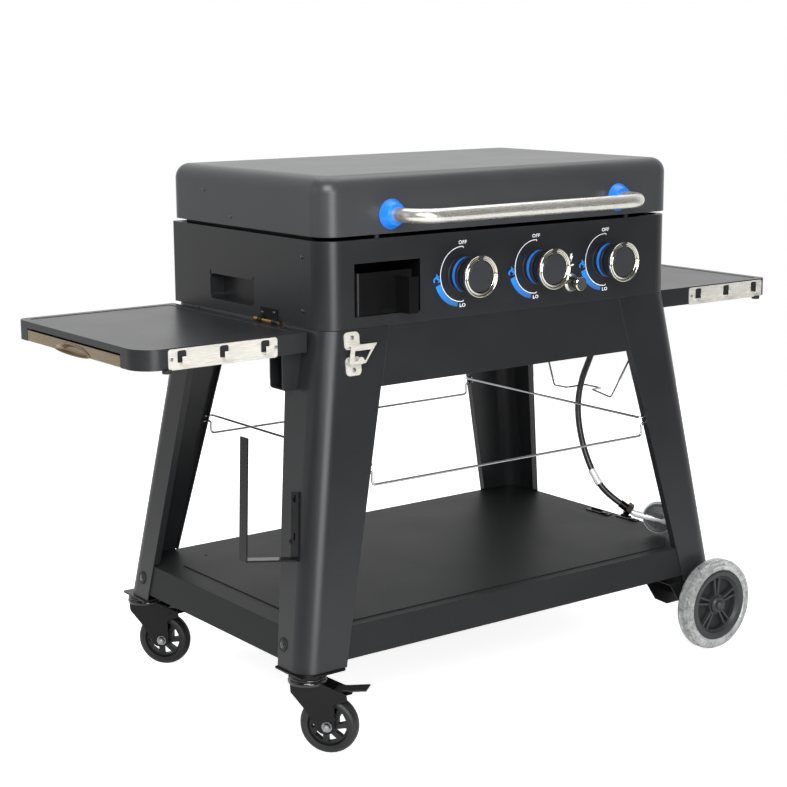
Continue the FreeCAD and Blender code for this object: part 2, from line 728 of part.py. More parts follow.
def valve_stem(x):
    """Valve stem: flatted where the knob sits, round where it runs in the valve."""
    flat_end = KNOB_BACK_Y + KNOB_TRAVEL + 0.5
    tip = STEM_TIP_Y + KNOB_TRAVEL + 0.5
    flatted = stem_section(x, tip, flat_end - tip, STEM_D, STEM_FLAT)
    tail = rod(V(x, flat_end, DIAL_Z), BACK, STEM_D, VALVE_FRONT_Y + 12 - flat_end)
    return flatted.fuse(tail).removeSplitter()


def gas_valve(x):
    """Valve body with its front boss, the stem bore and the nozzle towards the burner."""
    y1 = MANIFOLD_Y + 16
    body = box(x - 11, x + 11, VALVE_FRONT_Y, y1, DIAL_Z - 13, DIAL_Z + 13)
    boss = rod(V(x, FRONT_FACE_Y + SHEET, DIAL_Z), BACK, 18, VALVE_FRONT_Y - FRONT_FACE_Y - SHEET)
    nozzle = cone(V(x, y1, DIAL_Z), BACK, NOZZLE_D, NOZZLE_D - 3, 8)
    saddle = box(x - 9, x + 9, MANIFOLD_Y - 9, MANIFOLD_Y + 9, DIAL_Z + 13, MANIFOLD_Z)
    saddle = saddle.cut(rod(V(x - 10, MANIFOLD_Y, MANIFOLD_Z), RIGHT, MANIFOLD_D, 20))
    bore_depth = VALVE_FRONT_Y + 12 + KNOB_TRAVEL + 1 - FRONT_FACE_Y - SHEET
    bore = rod(V(x, FRONT_FACE_Y + SHEET, DIAL_Z), BACK, STEM_D + 2 * RUN_FIT, bore_depth)
    return join(body, boss, nozzle, saddle).cut(bore)


def knob_bezel(x):
    """Moulded seat behind the knob: plain base and coloured band, hollow towards the panel."""
    start = V(x, FRONT_FACE_Y, DIAL_Z)
    base = rod(start, FRONT, BEZEL_BASE_D, BEZEL_BASE_H)
    band = cone(start + FRONT * BEZEL_BASE_H, FRONT, BEZEL_D, BEZEL_FACE_D, BEZEL_H - BEZEL_BASE_H)
    hollow = rod(start, FRONT, BEZEL_BASE_D - 2 * BEZEL_WALL, BEZEL_H - BEZEL_WALL)
    return base.fuse(band).cut(hollow).cut(rod(start, FRONT, PANEL_STEM_HOLE, BEZEL_H))


def igniter_body():
    """Push igniter: battery case behind the panel, bright collar and black barrel in front of it."""
    back = V(IGNITER_X, FRONT_FACE_Y, IGNITER_Z)
    case = rod(back, BACK, IGNITER_BODY_D - 2 * RUN_FIT, IGNITER_BODY_L)
    nut = hexagon(V(IGNITER_X, FRONT_FACE_Y + SHEET, IGNITER_Z), BACK, IGNITER_BODY_D + 6, 5)
    collar = rod(back, FRONT, IGNITER_COLLAR_D, 2.5)
    dome = cone(back + FRONT * 2.5, FRONT, IGNITER_COLLAR_D, IGNITER_COLLAR_D - 6, IGNITER_COLLAR_H - 2.5)
    barrel = rod(back, FRONT, IGNITER_BARREL_D, IGNITER_BARREL_H)
    well = rod(V(IGNITER_X, FRONT_FACE_Y + 12, IGNITER_Z), FRONT, IGNITER_SHANK_D + 2 * RUN_FIT, 40)
    return join(case, nut, collar, dome, barrel).cut(well)


def igniter_button():
    """Igniter push button with its shank."""
    tip = FRONT_FACE_Y - IGNITER_PROUD
    head_l = IGNITER_PROUD - IGNITER_BARREL_H - IGNITER_TRAVEL - PART_GAP
    head = rod(V(IGNITER_X, tip + 1.5, IGNITER_Z), BACK, IGNITER_BUTTON_D, head_l - 1.5)
    face = cone(V(IGNITER_X, tip, IGNITER_Z), BACK, IGNITER_BUTTON_D - 3, IGNITER_BUTTON_D, 1.5)
    shank_l = FRONT_FACE_Y + 12 - IGNITER_TRAVEL - PART_GAP - tip - head_l
    shank = rod(V(IGNITER_X, tip + head_l, IGNITER_Z), BACK, IGNITER_SHANK_D, shank_l)
    return join(head, face, shank)


# Grease cup and its bay


def cup_housing():
    """Sheet bay behind the front panel that holds the grease cup."""
    t = CUP_WALL
    y0 = FRONT_FACE_Y + SHEET
    y1 = FRONT_FACE_Y + CUP_BAY_DEPTH
    outside = box(CUP_BAY_X0 - t, CUP_BAY_X1 + t, y0, y1, CUP_BAY_Z0 - t, CUP_BAY_Z1 + t)
    bay = outside.cut(box(CUP_BAY_X0, CUP_BAY_X1, y0 - 1, y1 - t, CUP_BAY_Z0, CUP_BAY_Z1))
    clear = DRAIN_D + 2 * GRIDDLE_WALL_T + 4
    return bay.cut(rod(V(DRAIN_X, DRAIN_Y, CUP_BAY_Z1 - 2), UP, clear, 10))


def grease_cup():
    """Pull-out cup with rounded front edges and a bent handle fin."""
    t = CUP_WALL
    x1 = CUP_X0 + CUP_W
    y0 = FRONT_FACE_Y + CUP_SET_BACK
    y1 = y0 + CUP_DEPTH
    z0 = CUP_BAY_Z0 + PART_GAP
    z1 = z0 + CUP_H
    r = CUP_EDGE_R
    cup = plan_block(CUP_X0, x1, y0, y1, (r, 2.0, 2.0, 2.0), z0, z1)
    cup = cup.cut(plan_block(CUP_X0 + t, x1 - t, y0 + t, y1 - t, (r - t, 1.0, 1.0, 1.0), z0 + t, z1 + 1))
    out_y = y0 - CUP_FIN_OUT
    fin = box(CUP_FIN_X, CUP_FIN_X + 2, out_y, y0 + t / 2, CUP_FIN_Z0, CUP_FIN_Z1)
    turn = box(CUP_FIN_X, CUP_FIN_X + CUP_FIN_TURN, out_y, out_y + 2, CUP_FIN_Z0, CUP_FIN_Z1)
    foot = box(CUP_FIN_X - 30, CUP_FIN_X + 2, y0 - 2, y0 + t / 2, CUP_FIN_Z0, CUP_FIN_Z0 + 9)
    return join(cup, fin, turn, foot)


# Gas train


def gas_manifold():
    """Manifold pipe behind the valves, bent back and down to the inlet below the head."""
    x0 = DIAL_X[0] - 24
    points = [(x0, MANIFOLD_Y, MANIFOLD_Z), (INLET_X, MANIFOLD_Y, MANIFOLD_Z),
              (INLET_X, INLET_Y, MANIFOLD_Z), (INLET_X, INLET_Y, INLET_Z)]
    return wire_form(points, MANIFOLD_D, 26.0)


def burner(x_valve, x_burner):
    """Tube burner that swings from its valve to its place under the plate."""
    z = DIAL_Z
    points = [(x_valve, BURNER_FRONT_Y, z), (x_valve, BURNER_TURN_Y, z),
              (x_burner, BURNER_STRAIGHT_Y, z), (x_burner, BURNER_BACK_Y, z)]
    pipe = wire_form(points, BURNER_D, 60.0)
    mouth = rod(V(x_valve, BURNER_FRONT_Y - 1, z), BACK, BURNER_D - 4, 26)
    floor_z = HEAD_Z + SHEET + FLOOR_T
    foot = box(x_burner - 9, x_burner + 9, BURNER_BACK_Y - 12, BURNER_BACK_Y - 9, floor_z, z)
    port = box(x_burner - 1.5, x_burner + 1.5, BURNER_STRAIGHT_Y + 12, BURNER_BACK_Y - 20,
               z + BURNER_D / 2 - 2, z + BURNER_D / 2 + 2)
    return pipe.fuse(foot).cut(mouth).cut(port).removeSplitter()


HOSE_POINTS = [(350.0, -114.0, 660.0), (350.5, -109.0, 612.0), (351.5, -86.0, 562.0), (350.0, -63.0, 514.0),
               (348.5, -54.0, 462.0), (349.0, -61.0, 410.0), (350.0, -79.0, 363.0), (352.0, -104.0, 322.0),
               (360.0, -130.0, 291.0), (382.0, -149.0, 270.0)]


def hose_path():
    """Hose route: each arc is as large as its two runs allow."""
    points = [V(*p) for p in HOSE_POINTS]
    radii = []
    for i in range(1, len(points) - 1):
        before = points[i] - points[i - 1]
        after = points[i + 1] - points[i]
        turn = before.getAngle(after)
        radii.append(0.45 * min(before.Length, after.Length) / math.tan(turn / 2))
    print("hose radii", [round(r, 1) for r in radii])
    return route(points, radii)


def gas_hose():
    """Low-pressure hose from the manifold inlet to the regulator."""
    path = hose_path()
    hose = tube(path, HOSE_D)
    section = math.pi * HOSE_D ** 2 / 4
    print("hose length", round(path.Length, 1), "volume ratio", round(hose.Volume / section / path.Length, 4))
    return hose


def hose_end(tip, direction):
    """Crimped ferrule and swivel nut at one end of the hose."""
    ferrule = rod(tip, direction, FERRULE_D, FERRULE_L * 0.6)
    nut = hexagon(tip + direction * (FERRULE_L * 0.6), direction, NUT_ACROSS, FERRULE_L * 0.4)
    return ferrule.fuse(nut).removeSplitter()


def hose_directions():
    """Outward directions of the hose's two ends."""
    first = (V(*HOSE_POINTS[0]) - V(*HOSE_POINTS[1])).normalize()
    last = (V(*HOSE_POINTS[-1]) - V(*HOSE_POINTS[-2])).normalize()
    return first, last


def inlet_fitting():
    """Fitting that joins the upper hose end to the manifold inlet."""
    tip = V(*HOSE_POINTS[0])
    first, _ = hose_directions()
    end = hose_end(tip, first)
    spigot = rod(V(INLET_X, INLET_Y, tip.z + 16), UP, MANIFOLD_D - 4, INLET_Z - tip.z - 16)
    return end.fuse(spigot).removeSplitter()


def regulator():
    """Disc regulator with a flat rim and the cross pipe of its two connections."""
    _, last = hose_directions()
    inlet = V(*HOSE_POINTS[-1]) + last * FERRULE_L
    stub = rod(inlet, last, 12.0, 12.0)
    near = inlet + last * 10
    far = V(*REGULATOR_OUTLET)
    flat = V(far.x - near.x, far.y - near.y, 0).normalize()
    centre = near + (far - near) * REGULATOR_MIDDLE
    centre.z = TRAY_TOP_Z + TRAY_PANEL_RISE + REGULATOR_CLEAR + REGULATOR_D / 2
    across = V(-flat.y, flat.x, 0)
    disc = rod(centre - across * (REGULATOR_T / 2), across, REGULATOR_D - 8, REGULATOR_T)
    rim = rod(centre - across * 3, across, REGULATOR_D, 6)
    cap = rod(centre - across * (REGULATOR_T / 2 + 6), across, REGULATOR_CAP_D, 8)
    pipe = rod(near, (far - near).normalize(), 14.0, (far - near).Length)
    return join(disc, rim, cap, pipe, stub)


# Cart frame


def side_x(z):
    """Distance of the legs' outer side plane from the centre at a height."""
    return HEAD_HW + LEG_SPLAY_X * (HEAD_Z - z)


def front_y(z):
    """Distance of the legs' outer front plane from the centre at a height."""
    return HEAD_HD + LEG_SPLAY_Y * (HEAD_Z - z)


def taper(top, foot, z):
    """Size that changes evenly from the leg's top to its foot."""
    return foot + (top - foot) * (z - LEG_FOOT_Z) / (HEAD_Z - LEG_FOOT_Z)


def leg_section(sign_x, sign_y, z, sides, flange):
    """Sheet section of one leg at a height: rounded corner and two turned-in edges."""
    face = taper(LEG_FACE_TOP, LEG_FACE_FOOT, z)
    side = taper(sides[0], sides[1], z)
    t = LEG_T
    f = flange
    outline = [((face, f), 0), ((face, 0), 0), ((0, 0), LEG_CORNER_R), ((0, side), 0), ((f, side), 0),
               ((f, side - t), 0), ((t, side - t), 0), ((t, t), LEG_CORNER_R - t), ((face - t, t), 0),
               ((face - t, f), 0)]
    return rounded_wire([(V(sign_x * (side_x(z) - u), sign_y * (front_y(z) - v), z), r)
                         for (u, v), r in outline])


def leg_length(sign_x, sign_y, z0, z1, sides, flange):
    """Length of leg between two heights."""
    wires = [leg_section(sign_x, sign_y, z, sides, flange) for z in (z0, z1)]
    return Part.makeLoft(wires, True, True)


def leg(sign_x, sign_y):
    """Splayed folded leg; the turned-in edges stop above the bottom shelf."""
    sides = (LEG_FRONT_SIDE_TOP, LEG_FRONT_SIDE_FOOT)
    if sign_y > 0:
        sides = (LEG_BACK_SIDE_TOP, LEG_BACK_SIDE_FOOT)
    stop = TRAY_TOP_Z + TRAY_PANEL_RISE + 1
    upper = leg_length(sign_x, sign_y, stop, LEG_TOP_Z, sides, LEG_FLANGE)
    lower = leg_length(sign_x, sign_y, LEG_FOOT_Z, stop, sides, LEG_T + PART_GAP)
    body = upper.fuse(lower)
    for z in (RAIL_HOOK_Z, SIDE_RAIL_Z):
        x = inner_x(z)
        y = hook_y(z)
        hole = rod(V(sign_x * (x - 5), sign_y * y, z), V(sign_x, 0, 0), RAIL_D + 2 * RAIL_HOLE_GAP, 12)
        body = body.cut(hole)
    return body


def inner_x(z):
    """Distance of the free edge of a leg's front face from the centre at a height."""
    return side_x(z) - taper(LEG_FACE_TOP, LEG_FACE_FOOT, z)


def hook_y(z):
    """Distance of the wire rails' hook holes from the centre line at a height."""
    return front_y(z) - LEG_FLANGE / 2 - 1


def apron_front():
    """Apron plate between the front legs, in the legs' sloping plane, with turned-in edges."""
    top = HEAD_Z
    foot = APRON_BOTTOM_Z
    wide_top = inner_x(top) - LEG_SEAM
    wide_foot = inner_x(foot) - LEG_SEAM
    plate = prism([(-wide_top, -front_y(top), top), (wide_top, -front_y(top), top),
                   (wide_foot, -front_y(foot), foot), (-wide_foot, -front_y(foot), foot)], V(0, SHEET, 0))
    upper = box(-wide_top, wide_top, -front_y(top) + 0.2, -front_y(top) + APRON_FLANGE, top - SHEET, top)
    lower = box(-wide_foot + 1, wide_foot - 1, -front_y(foot) + 0.3, -front_y(foot) + APRON_FLANGE,
                foot, foot + SHEET)
    return join(plate, upper, lower)


def side_rail():
    """Rail between the two left legs, with a ledge for the head."""
    top = HEAD_Z
    foot = HEAD_Z - SIDE_RAIL_H
    front_top = -front_y(top) + taper(LEG_FRONT_SIDE_TOP, LEG_FRONT_SIDE_FOOT, top) + LEG_SEAM
    front_foot = -front_y(foot) + taper(LEG_FRONT_SIDE_TOP, LEG_FRONT_SIDE_FOOT, foot) + LEG_SEAM
    back_top = front_y(top) - taper(LEG_BACK_SIDE_TOP, LEG_BACK_SIDE_FOOT, top) - LEG_SEAM
    back_foot = front_y(foot) - taper(LEG_BACK_SIDE_TOP, LEG_BACK_SIDE_FOOT, foot) - LEG_SEAM
    plate = prism([(-side_x(top), front_top, top), (-side_x(top), back_top, top),
                   (-side_x(foot), back_foot, foot), (-side_x(foot), front_foot, foot)], V(SHEET, 0, 0))
    ledge = box(-side_x(top) + 0.2, -side_x(top) + APRON_FLANGE + 14, front_top, back_top, top - SHEET, top)
    return join(plate, ledge, lock_lug())


def tray_section(z, inset, radius):
    """Bottom shelf outline at a height, drawn in from the legs' outer planes."""
    hw = side_x(z) - inset
    hd = front_y(z) - inset
    return plan_wire(-hw, hw, -hd, hd, (radius,) * 4, z)


def tray_panel(inset, z0, z1):
    """Block of the raised panel's outline, with its four corners cut off at a slant."""
    hw = TRAY_PANEL_HW - inset
    cx, cy = TRAY_PANEL_CUT
    corners = []
    for sx, sy in ((1, 1), (-1, 1), (-1, -1), (1, -1)):
        y = TRAY_PANEL_BACK_Y - inset if sy > 0 else TRAY_PANEL_FRONT_Y + inset
        pair = [(sx * hw, y - sy * cy), (sx * (hw - cx), y)]
        corners += pair if sx * sy > 0 else pair[::-1]
    wire = rounded_wire([(V(x, y, z0), TRAY_PANEL_R) for x, y in corners])
    return Part.Face(wire).extrude(V(0, 0, z1 - z0))


def bottom_shelf():
    """Pressed shelf whose skirt follows the splay of the legs, with a raised panel."""
    inset = LEG_T + PART_GAP
    radius = LEG_CORNER_R - inset
    z0 = TRAY_TOP_Z - TRAY_SKIRT
    outside = Part.makeLoft([tray_section(z0, inset, radius), tray_section(TRAY_TOP_Z, inset, radius)], True, True)
    deep = inset + SHEET
    under = TRAY_TOP_Z - SHEET
    inside = Part.makeLoft([tray_section(z0 - 2, deep, radius - SHEET), tray_section(under, deep, radius - SHEET)],
                           True, True)
    shelf = outside.cut(inside)
    panel = tray_panel(0, TRAY_TOP_Z - SHEET, TRAY_TOP_Z + TRAY_PANEL_RISE)
    hollow = tray_panel(SHEET, TRAY_TOP_Z - SHEET - 1, TRAY_TOP_Z + TRAY_PANEL_RISE - SHEET)
    shelf = shelf.fuse(panel).cut(hollow)
    hx, dy = TRAY_HOLE_XY
    for x in (-hx, hx):
        for y in (TRAY_PANEL_FRONT_Y + 2 * dy, TRAY_PANEL_BACK_Y - dy):
            shelf = shelf.cut(rod(V(x, y, TRAY_TOP_Z - 5), UP, TRAY_HOLE_D, 12))
    return shelf.removeSplitter()


# Side shelves


def shelf_blank():
    """Left side shelf: top sheet and three turned-down rims, open to the head."""
    x0 = -SHELF_OUT_X
    x1 = -SHELF_IN_X
    z0 = SHELF_TOP_Z - SHELF_RIM
    return x0, x1, z0


def side_shelf(front_r):
    """Left-hand side shelf with a given front corner radius."""
    x0, x1, z0 = shelf_blank()
    t = SHEET
    flat = 0.01
    outside = plan_block(x0, x1, SHELF_FRONT_Y, SHELF_BACK_Y, (front_r, 0, 0, SHELF_R), z0, SHELF_TOP_Z)
    inside = plan_block(x0 + t, x1 + 5, SHELF_FRONT_Y + t, SHELF_BACK_Y - t, (front_r - t, 0, 0, SHELF_R - t),
                        z0 - 1, SHELF_TOP_Z - t)
    shelf = outside.cut(inside)
    b = SHELF_BORDER
    field = plan_block(x0 + b, x1 - b, SHELF_FRONT_Y + b, SHELF_BACK_Y - b,
                       (max(front_r - b, 6.0), 6.0, 6.0, 6.0), SHELF_TOP_Z - SHELF_BORDER_STEP, SHELF_TOP_Z + flat)
    shelf = shelf.cut(field)
    for ear in shelf_ears():
        shelf = shelf.fuse(ear)
    return shelf.removeSplitter()


def shelf_ears():
    """Hinge ears under the left shelf, one each side of each bracket."""
    ears = []
    top = SHELF_TOP_Z - SHEET
    for y in (BRACKET_FRONT_Y, BRACKET_BACK_Y - BRACKET_W):
        for y0 in (y - PART_GAP - SHELF_EAR_T, y + BRACKET_W + PART_GAP):
            round_end = rod(V(-SHELF_PIVOT_X, y0, SHELF_PIVOT_Z), BACK, 2 * SHELF_EAR_R, SHELF_EAR_T)
            web = box(-SHELF_PIVOT_X - SHELF_EAR_R, -SHELF_PIVOT_X + SHELF_EAR_R, y0, y0 + SHELF_EAR_T,
                      SHELF_PIVOT_Z, top)
            hole = rod(V(-SHELF_PIVOT_X, y0 - 1, SHELF_PIVOT_Z), BACK, SHELF_PIN_D + 2 * RUN_FIT,
                       SHELF_EAR_T + 2)
            ears.append(round_end.fuse(web).cut(hole))
    return ears


def side_shelf_left():
    """Left shelf with the slot in its rim and the two runners of the pull board."""
    shelf = side_shelf(SHELF_LEFT_FRONT_R)
    _, _, z0 = shelf_blank()
    shelf = shelf.cut(box(-SHELF_OUT_X - 1, -SHELF_OUT_X + SHEET + 1, SLOT_FRONT_Y, SLOT_BACK_Y,
                          z0 - 1, SLOT_TOP_Z))
    tray_z = board_tray_z()
    x0 = -SHELF_OUT_X + SHEET + 8
    x1 = x0 + BOARD_DEPTH - 10
    under = SHELF_TOP_Z - SHEET
    for wall_y, lip_y in ((SLOT_FRONT_Y - 2 * SHEET, SLOT_FRONT_Y - SHEET),
                          (SLOT_BACK_Y + SHEET, SLOT_BACK_Y + SHEET - BOARD_RUNNER)):
        wall = box(x0, x1, wall_y, wall_y + SHEET, tray_z - PART_GAP - SHEET, under)
        lip = box(x0, x1, lip_y, lip_y + BOARD_RUNNER, tray_z - PART_GAP - SHEET, tray_z - PART_GAP)
        shelf = shelf.fuse(wall).fuse(lip)
    return shelf.removeSplitter()


def board_tray_z():
    """Underside of the pull board's tray."""
    return BOARD_Z0 + BOARD_FRONT_H - BOARD_T


def pull_board():
    """Pull-out board: bright front plate with a half-moon cup pull, and its tray."""
    y0 = SLOT_FRONT_Y + BOARD_SIDE_GAP
    y1 = SLOT_BACK_Y - BOARD_SIDE_GAP
    x0 = -SHELF_OUT_X
    z0 = BOARD_Z0
    z1 = BOARD_Z0 + BOARD_FRONT_H
    front = box(x0, x0 + BOARD_T, y0, y1, z0, z1)
    tray = box(x0, x0 + BOARD_DEPTH, y0, y1, z1 - BOARD_T, z1)
    shell = pull_dish(0.0, x0 - PULL_RIM, x0 + PULL_DEPTH)
    hollow = pull_dish(PULL_WALL, x0 - PULL_RIM - 0.1, x0 + PULL_DEPTH - PULL_WALL)
    return join(front.cut(shell), tray, shell).cut(hollow)


def pull_dish(inset, x0, x1):
    """Scooped space of the cup pull between two depths, drawn in by an inset."""
    rings = []
    for x, size in ((x0, 1.0), (x1, PULL_FLOOR_SIZE)):
        half = PULL_W / 2 * size - inset
        upper = Part.ArcOfEllipse(Part.Ellipse(V(0, 0, 0), half, PULL_H * size - inset), 0, math.pi)
        lower = Part.ArcOfEllipse(Part.Ellipse(V(0, 0, 0), half, PULL_SAG * size - inset), math.pi, 2 * math.pi)
        ring = Part.Wire([upper.toShape(), lower.toShape()])
        ring.Placement = FreeCAD.Placement(V(x, PULL_Y, BOARD_Z0 + PULL_BASE),
                                           FreeCAD.Rotation(BACK, UP, RIGHT, "ZXY"))
        rings.append(ring)
    return Part.makeLoft(rings, True, True)


def hook_strip(span, windows):
    """Bright strip on a shelf's front rim with three hooks cut and bent out of it."""
    x0, x1 = span
    y1 = SHELF_FRONT_Y
    y0 = y1 - STRIP_T
    corners = ((x0, STRIP_Z0), (x1, STRIP_Z0), (x1, STRIP_Z1), (x0, STRIP_Z1))
    strip = Part.Face(rounded_wire([(V(x, y0, z), STRIP_R) for x, z in corners])).extrude(V(0, STRIP_T, 0))
    for x in windows:
        hw = WINDOW_W / 2
        opening = rounded_wire([(V(x + u, y0 - 1, z), 4.0 if z > WINDOW_Z0 else 0.0)
                                for u, z in ((-hw, WINDOW_Z0), (hw, WINDOW_Z0), (hw, WINDOW_Z1), (-hw, WINDOW_Z1))])
        strip = strip.cut(Part.Face(opening).extrude(V(0, STRIP_T + 2, 0)))
        tw = TAB_W / 2
        shelf_tab = box(x - tw, x + tw, y0 - TAB_OUT, y1 - 0.2, WINDOW_Z0 - STRIP_T, WINDOW_Z0)
        upturn = box(x - tw, x + tw, y0 - TAB_OUT, y0 - TAB_OUT + STRIP_T, WINDOW_Z0 - STRIP_T,
                     WINDOW_Z0 - STRIP_T + TAB_UP)
        strip = strip.fuse(shelf_tab).fuse(upturn)
    for x in (x0 + 6, x1 - 5):
        strip = strip.cut(rod(V(x, y0 - 1, (STRIP_Z0 + STRIP_Z1) / 2), BACK, 4.2, STRIP_T + 2))
    return strip.removeSplitter()


def shelf_bracket(y0):
    """Wedge bracket on a left leg with the shelf's pivot pin through its cheeks."""
    top = SHELF_PIVOT_Z + 9
    foot = BRACKET_FOOT_Z
    skin = 0.0
    outline = [(-side_x(top) - skin, y0, top), (-BRACKET_OUT_X, y0, top), (-BRACKET_OUT_X, y0, foot + 4),
               (-BRACKET_OUT_X + 4, y0, foot), (-side_x(foot) - skin, y0, foot)]
    wedge = prism(outline, V(0, BRACKET_W, 0))
    t = BRACKET_T
    hollow = [(-side_x(top + 2) - t, y0 + t, top + 2), (-BRACKET_OUT_X - 5, y0 + t, top + 2),
              (-BRACKET_OUT_X - 5, y0 + t, foot + t), (-side_x(foot + t) - t, y0 + t, foot + t)]
    wedge = wedge.cut(prism(hollow, V(0, BRACKET_W - 2 * t, 0)))
    reach = PART_GAP + SHELF_EAR_T + 1
    pin = rod(V(-SHELF_PIVOT_X, y0 - reach, SHELF_PIVOT_Z), BACK, SHELF_PIN_D, BRACKET_W + 2 * reach)
    return wedge.fuse(pin).removeSplitter()


# Wire goods


def front_wire_rail():
    """Rail between the front legs: its ends rise and hook through the legs' turned-in edges."""
    z = RAIL_HOOK_Z
    y = -hook_y(z)
    edge = inner_x(z)
    inboard = edge - RAIL_INBOARD
    points = [(-edge - RAIL_TAIL, y, z), (-inboard, y, z), (-inboard, y, RAIL_FRONT_Z),
              (inboard, y, RAIL_FRONT_Z), (inboard, y, z), (edge + RAIL_TAIL, y, z)]
    return wire_form(points, RAIL_D, RAIL_BEND_R)


def side_wire_rail():
    """Straight rail between the left legs, hooked into the same turned-in edges."""
    z = SIDE_RAIL_Z
    y = hook_y(z)
    edge = inner_x(z)
    points = [(-edge - RAIL_TAIL, -y, z), (-edge + RAIL_INBOARD, -y, z), (-edge + RAIL_INBOARD, y, z),
              (-edge - RAIL_TAIL, y, z)]
    return wire_form(points, RAIL_D, RAIL_BEND_R)


def tank_hanger():
    """Wire hanger for the gas bottle: both arms rise to the inside of the frame's right side."""
    x = HANGER_X
    z = HANGER_LOOP_Z
    top = HANGER_TOP_Z
    bend = top - 28
    seat = HANGER_D / 2 + PART_GAP
    back_arm = [(side_x(top) - SHEET - seat, HANGER_BACK_Y, top), (side_x(bend) - SHEET - seat, HANGER_BACK_Y, bend)]
    front_arm = [(side_x(bend) - LEG_T - seat, HANGER_FRONT_Y, bend),
                 (side_x(top) - LEG_T - seat, HANGER_FRONT_Y, top)]
    loop = [(x + 3, 22, z + 43), (x, 2, z), (x, -36, z + 1), (x + 38, -48, z + 4), (x + 38, -96, z + 4),
            (x, -110, z + 8), (x, -164, z), (x + 26, -186, z + 75)]
    return wire_form(back_arm + loop + front_arm, HANGER_D, HANGER_BEND_R)


# Accessories on the front left leg


def on_front_face(shape):
    """Tilts a shape drawn on the plane y = 0 below z = 0 onto the legs' front plane."""
    tilt = -math.degrees(math.atan(LEG_SPLAY_Y))
    shape.rotate(V(0, 0, 0), RIGHT, tilt)
    return shape.translated(V(0, -HEAD_HD, HEAD_Z))


def bottle_opener():
    """Bent opener plate: two screw ears on the leg and a raised plate with the cap window."""
    t = OPENER_T
    x = OPENER_X
    w = OPENER_EAR_W / 2

    def ear(z0, z1):
        corners = ((x - w, z0), (x + w, z0), (x + w, z1), (x - w, z1))
        return Part.Face(rounded_wire([(V(u, -t, z), 8.0) for u, z in corners])).extrude(V(0, t, 0))

    upper = ear(-OPENER_STEP - 8, -OPENER_TOP)
    lower = ear(-OPENER_FOOT, -OPENER_PLATE_FOOT + 12)
    right = x + OPENER_PLATE_W - w
    out = -OPENER_OUT
    face = [(x - w + 8, out, -OPENER_STEP), (right, out, -OPENER_STEP), (right - 26, out, -OPENER_PLATE_FOOT),
            (x - w, out, -OPENER_PLATE_FOOT)]
    plate = prism(face, V(0, t, 0))
    window = [(x - 2, out - 1, -36), (x + 32, out - 1, -36), (x + 20, out - 1, -53), (x - 4, out - 1, -53)]
    plate = plate.cut(prism(window, V(0, t + 2, 0)))
    tooth = rod(V(x + 10, out, -53), BACK, 12, t)
    plate = plate.fuse(tooth)
    top_web = prism([(x - w + 8, out, -OPENER_STEP), (x - w + 8, 0, -OPENER_STEP + 0.5),
                     (x - w + 8, 0, -OPENER_STEP - t), (x - w + 8, out, -OPENER_STEP - t)], V(2 * w - 10, 0, 0))
    foot_web = prism([(x - w, out, -OPENER_PLATE_FOOT + t), (x - w, 0, -OPENER_PLATE_FOOT + t),
                      (x - w, 0, -OPENER_PLATE_FOOT), (x - w, out, -OPENER_PLATE_FOOT)], V(2 * w - 2, 0, 0))
    for z in (-13.0, -OPENER_FOOT + 10):
        hole = rod(V(x, -t - 1, z), BACK, 4.4, t + 2)
        upper = upper.cut(hole)
        lower = lower.cut(hole)
    return on_front_face(join(upper, top_web, plate, foot_web, lower))


def towel_post():
    """Strip bent from a plate on the leg into an arm and an upright post."""
    w = POST_STRIP_W / 2
    t = POST_STRIP_T
    hh = POST_PLATE_H / 2
    plate = box(-t, 0, -w, w, -hh, hh)
    for z in (hh - 14, -hh + 36):
        plate = plate.cut(rod(V(-t - 1, 0, z), RIGHT, 8.0, t + 2))
        plate = plate.cut(box(-t - 1, 1, -2.3, 2.3, z, z + 9))
    plate.rotate(V(0, 0, 0), RIGHT, -POST_TILT)
    slope = math.degrees(math.atan(LEG_SPLAY_X))
    plate.rotate(V(0, 0, 0), BACK, slope)
    seat = V(-side_x(POST_PLATE_Z), POST_PLATE_Y, POST_PLATE_Z)
    plate = plate.translated(seat)
    foot_z = POST_PLATE_Z - hh * math.cos(math.radians(POST_TILT))
    foot_y = POST_PLATE_Y - hh * math.sin(math.radians(POST_TILT))
    rise = math.sin(math.radians(slope))
    run = math.cos(math.radians(slope))
    start = V(-side_x(foot_z), foot_y, foot_z)
    arm = box(-POST_ARM_L, 0, -w, w, 0, t)
    arm.rotate(V(0, 0, 0), BACK, slope)
    arm = arm.translated(start)
    end = V(start.x - POST_ARM_L * run, foot_y, foot_z + POST_ARM_L * rise)
    upright = box(0, t, -w, w, 0, POST_UPRIGHT_H)
    upright.rotate(V(0, 0, 0), BACK, 2.0)
    return join(plate, arm, upright.translated(end))


# Casters, drawn with the swivel axis on Z and the trail along X


def place_caster(shape, sign_y):
    """Turns a caster piece to its heading and sets it under a left leg."""
    shape.rotate(V(0, 0, 0), UP, CASTER_HEADING)
    return shape.translated(V(-CASTER_X, sign_y * CASTER_Y, 0))


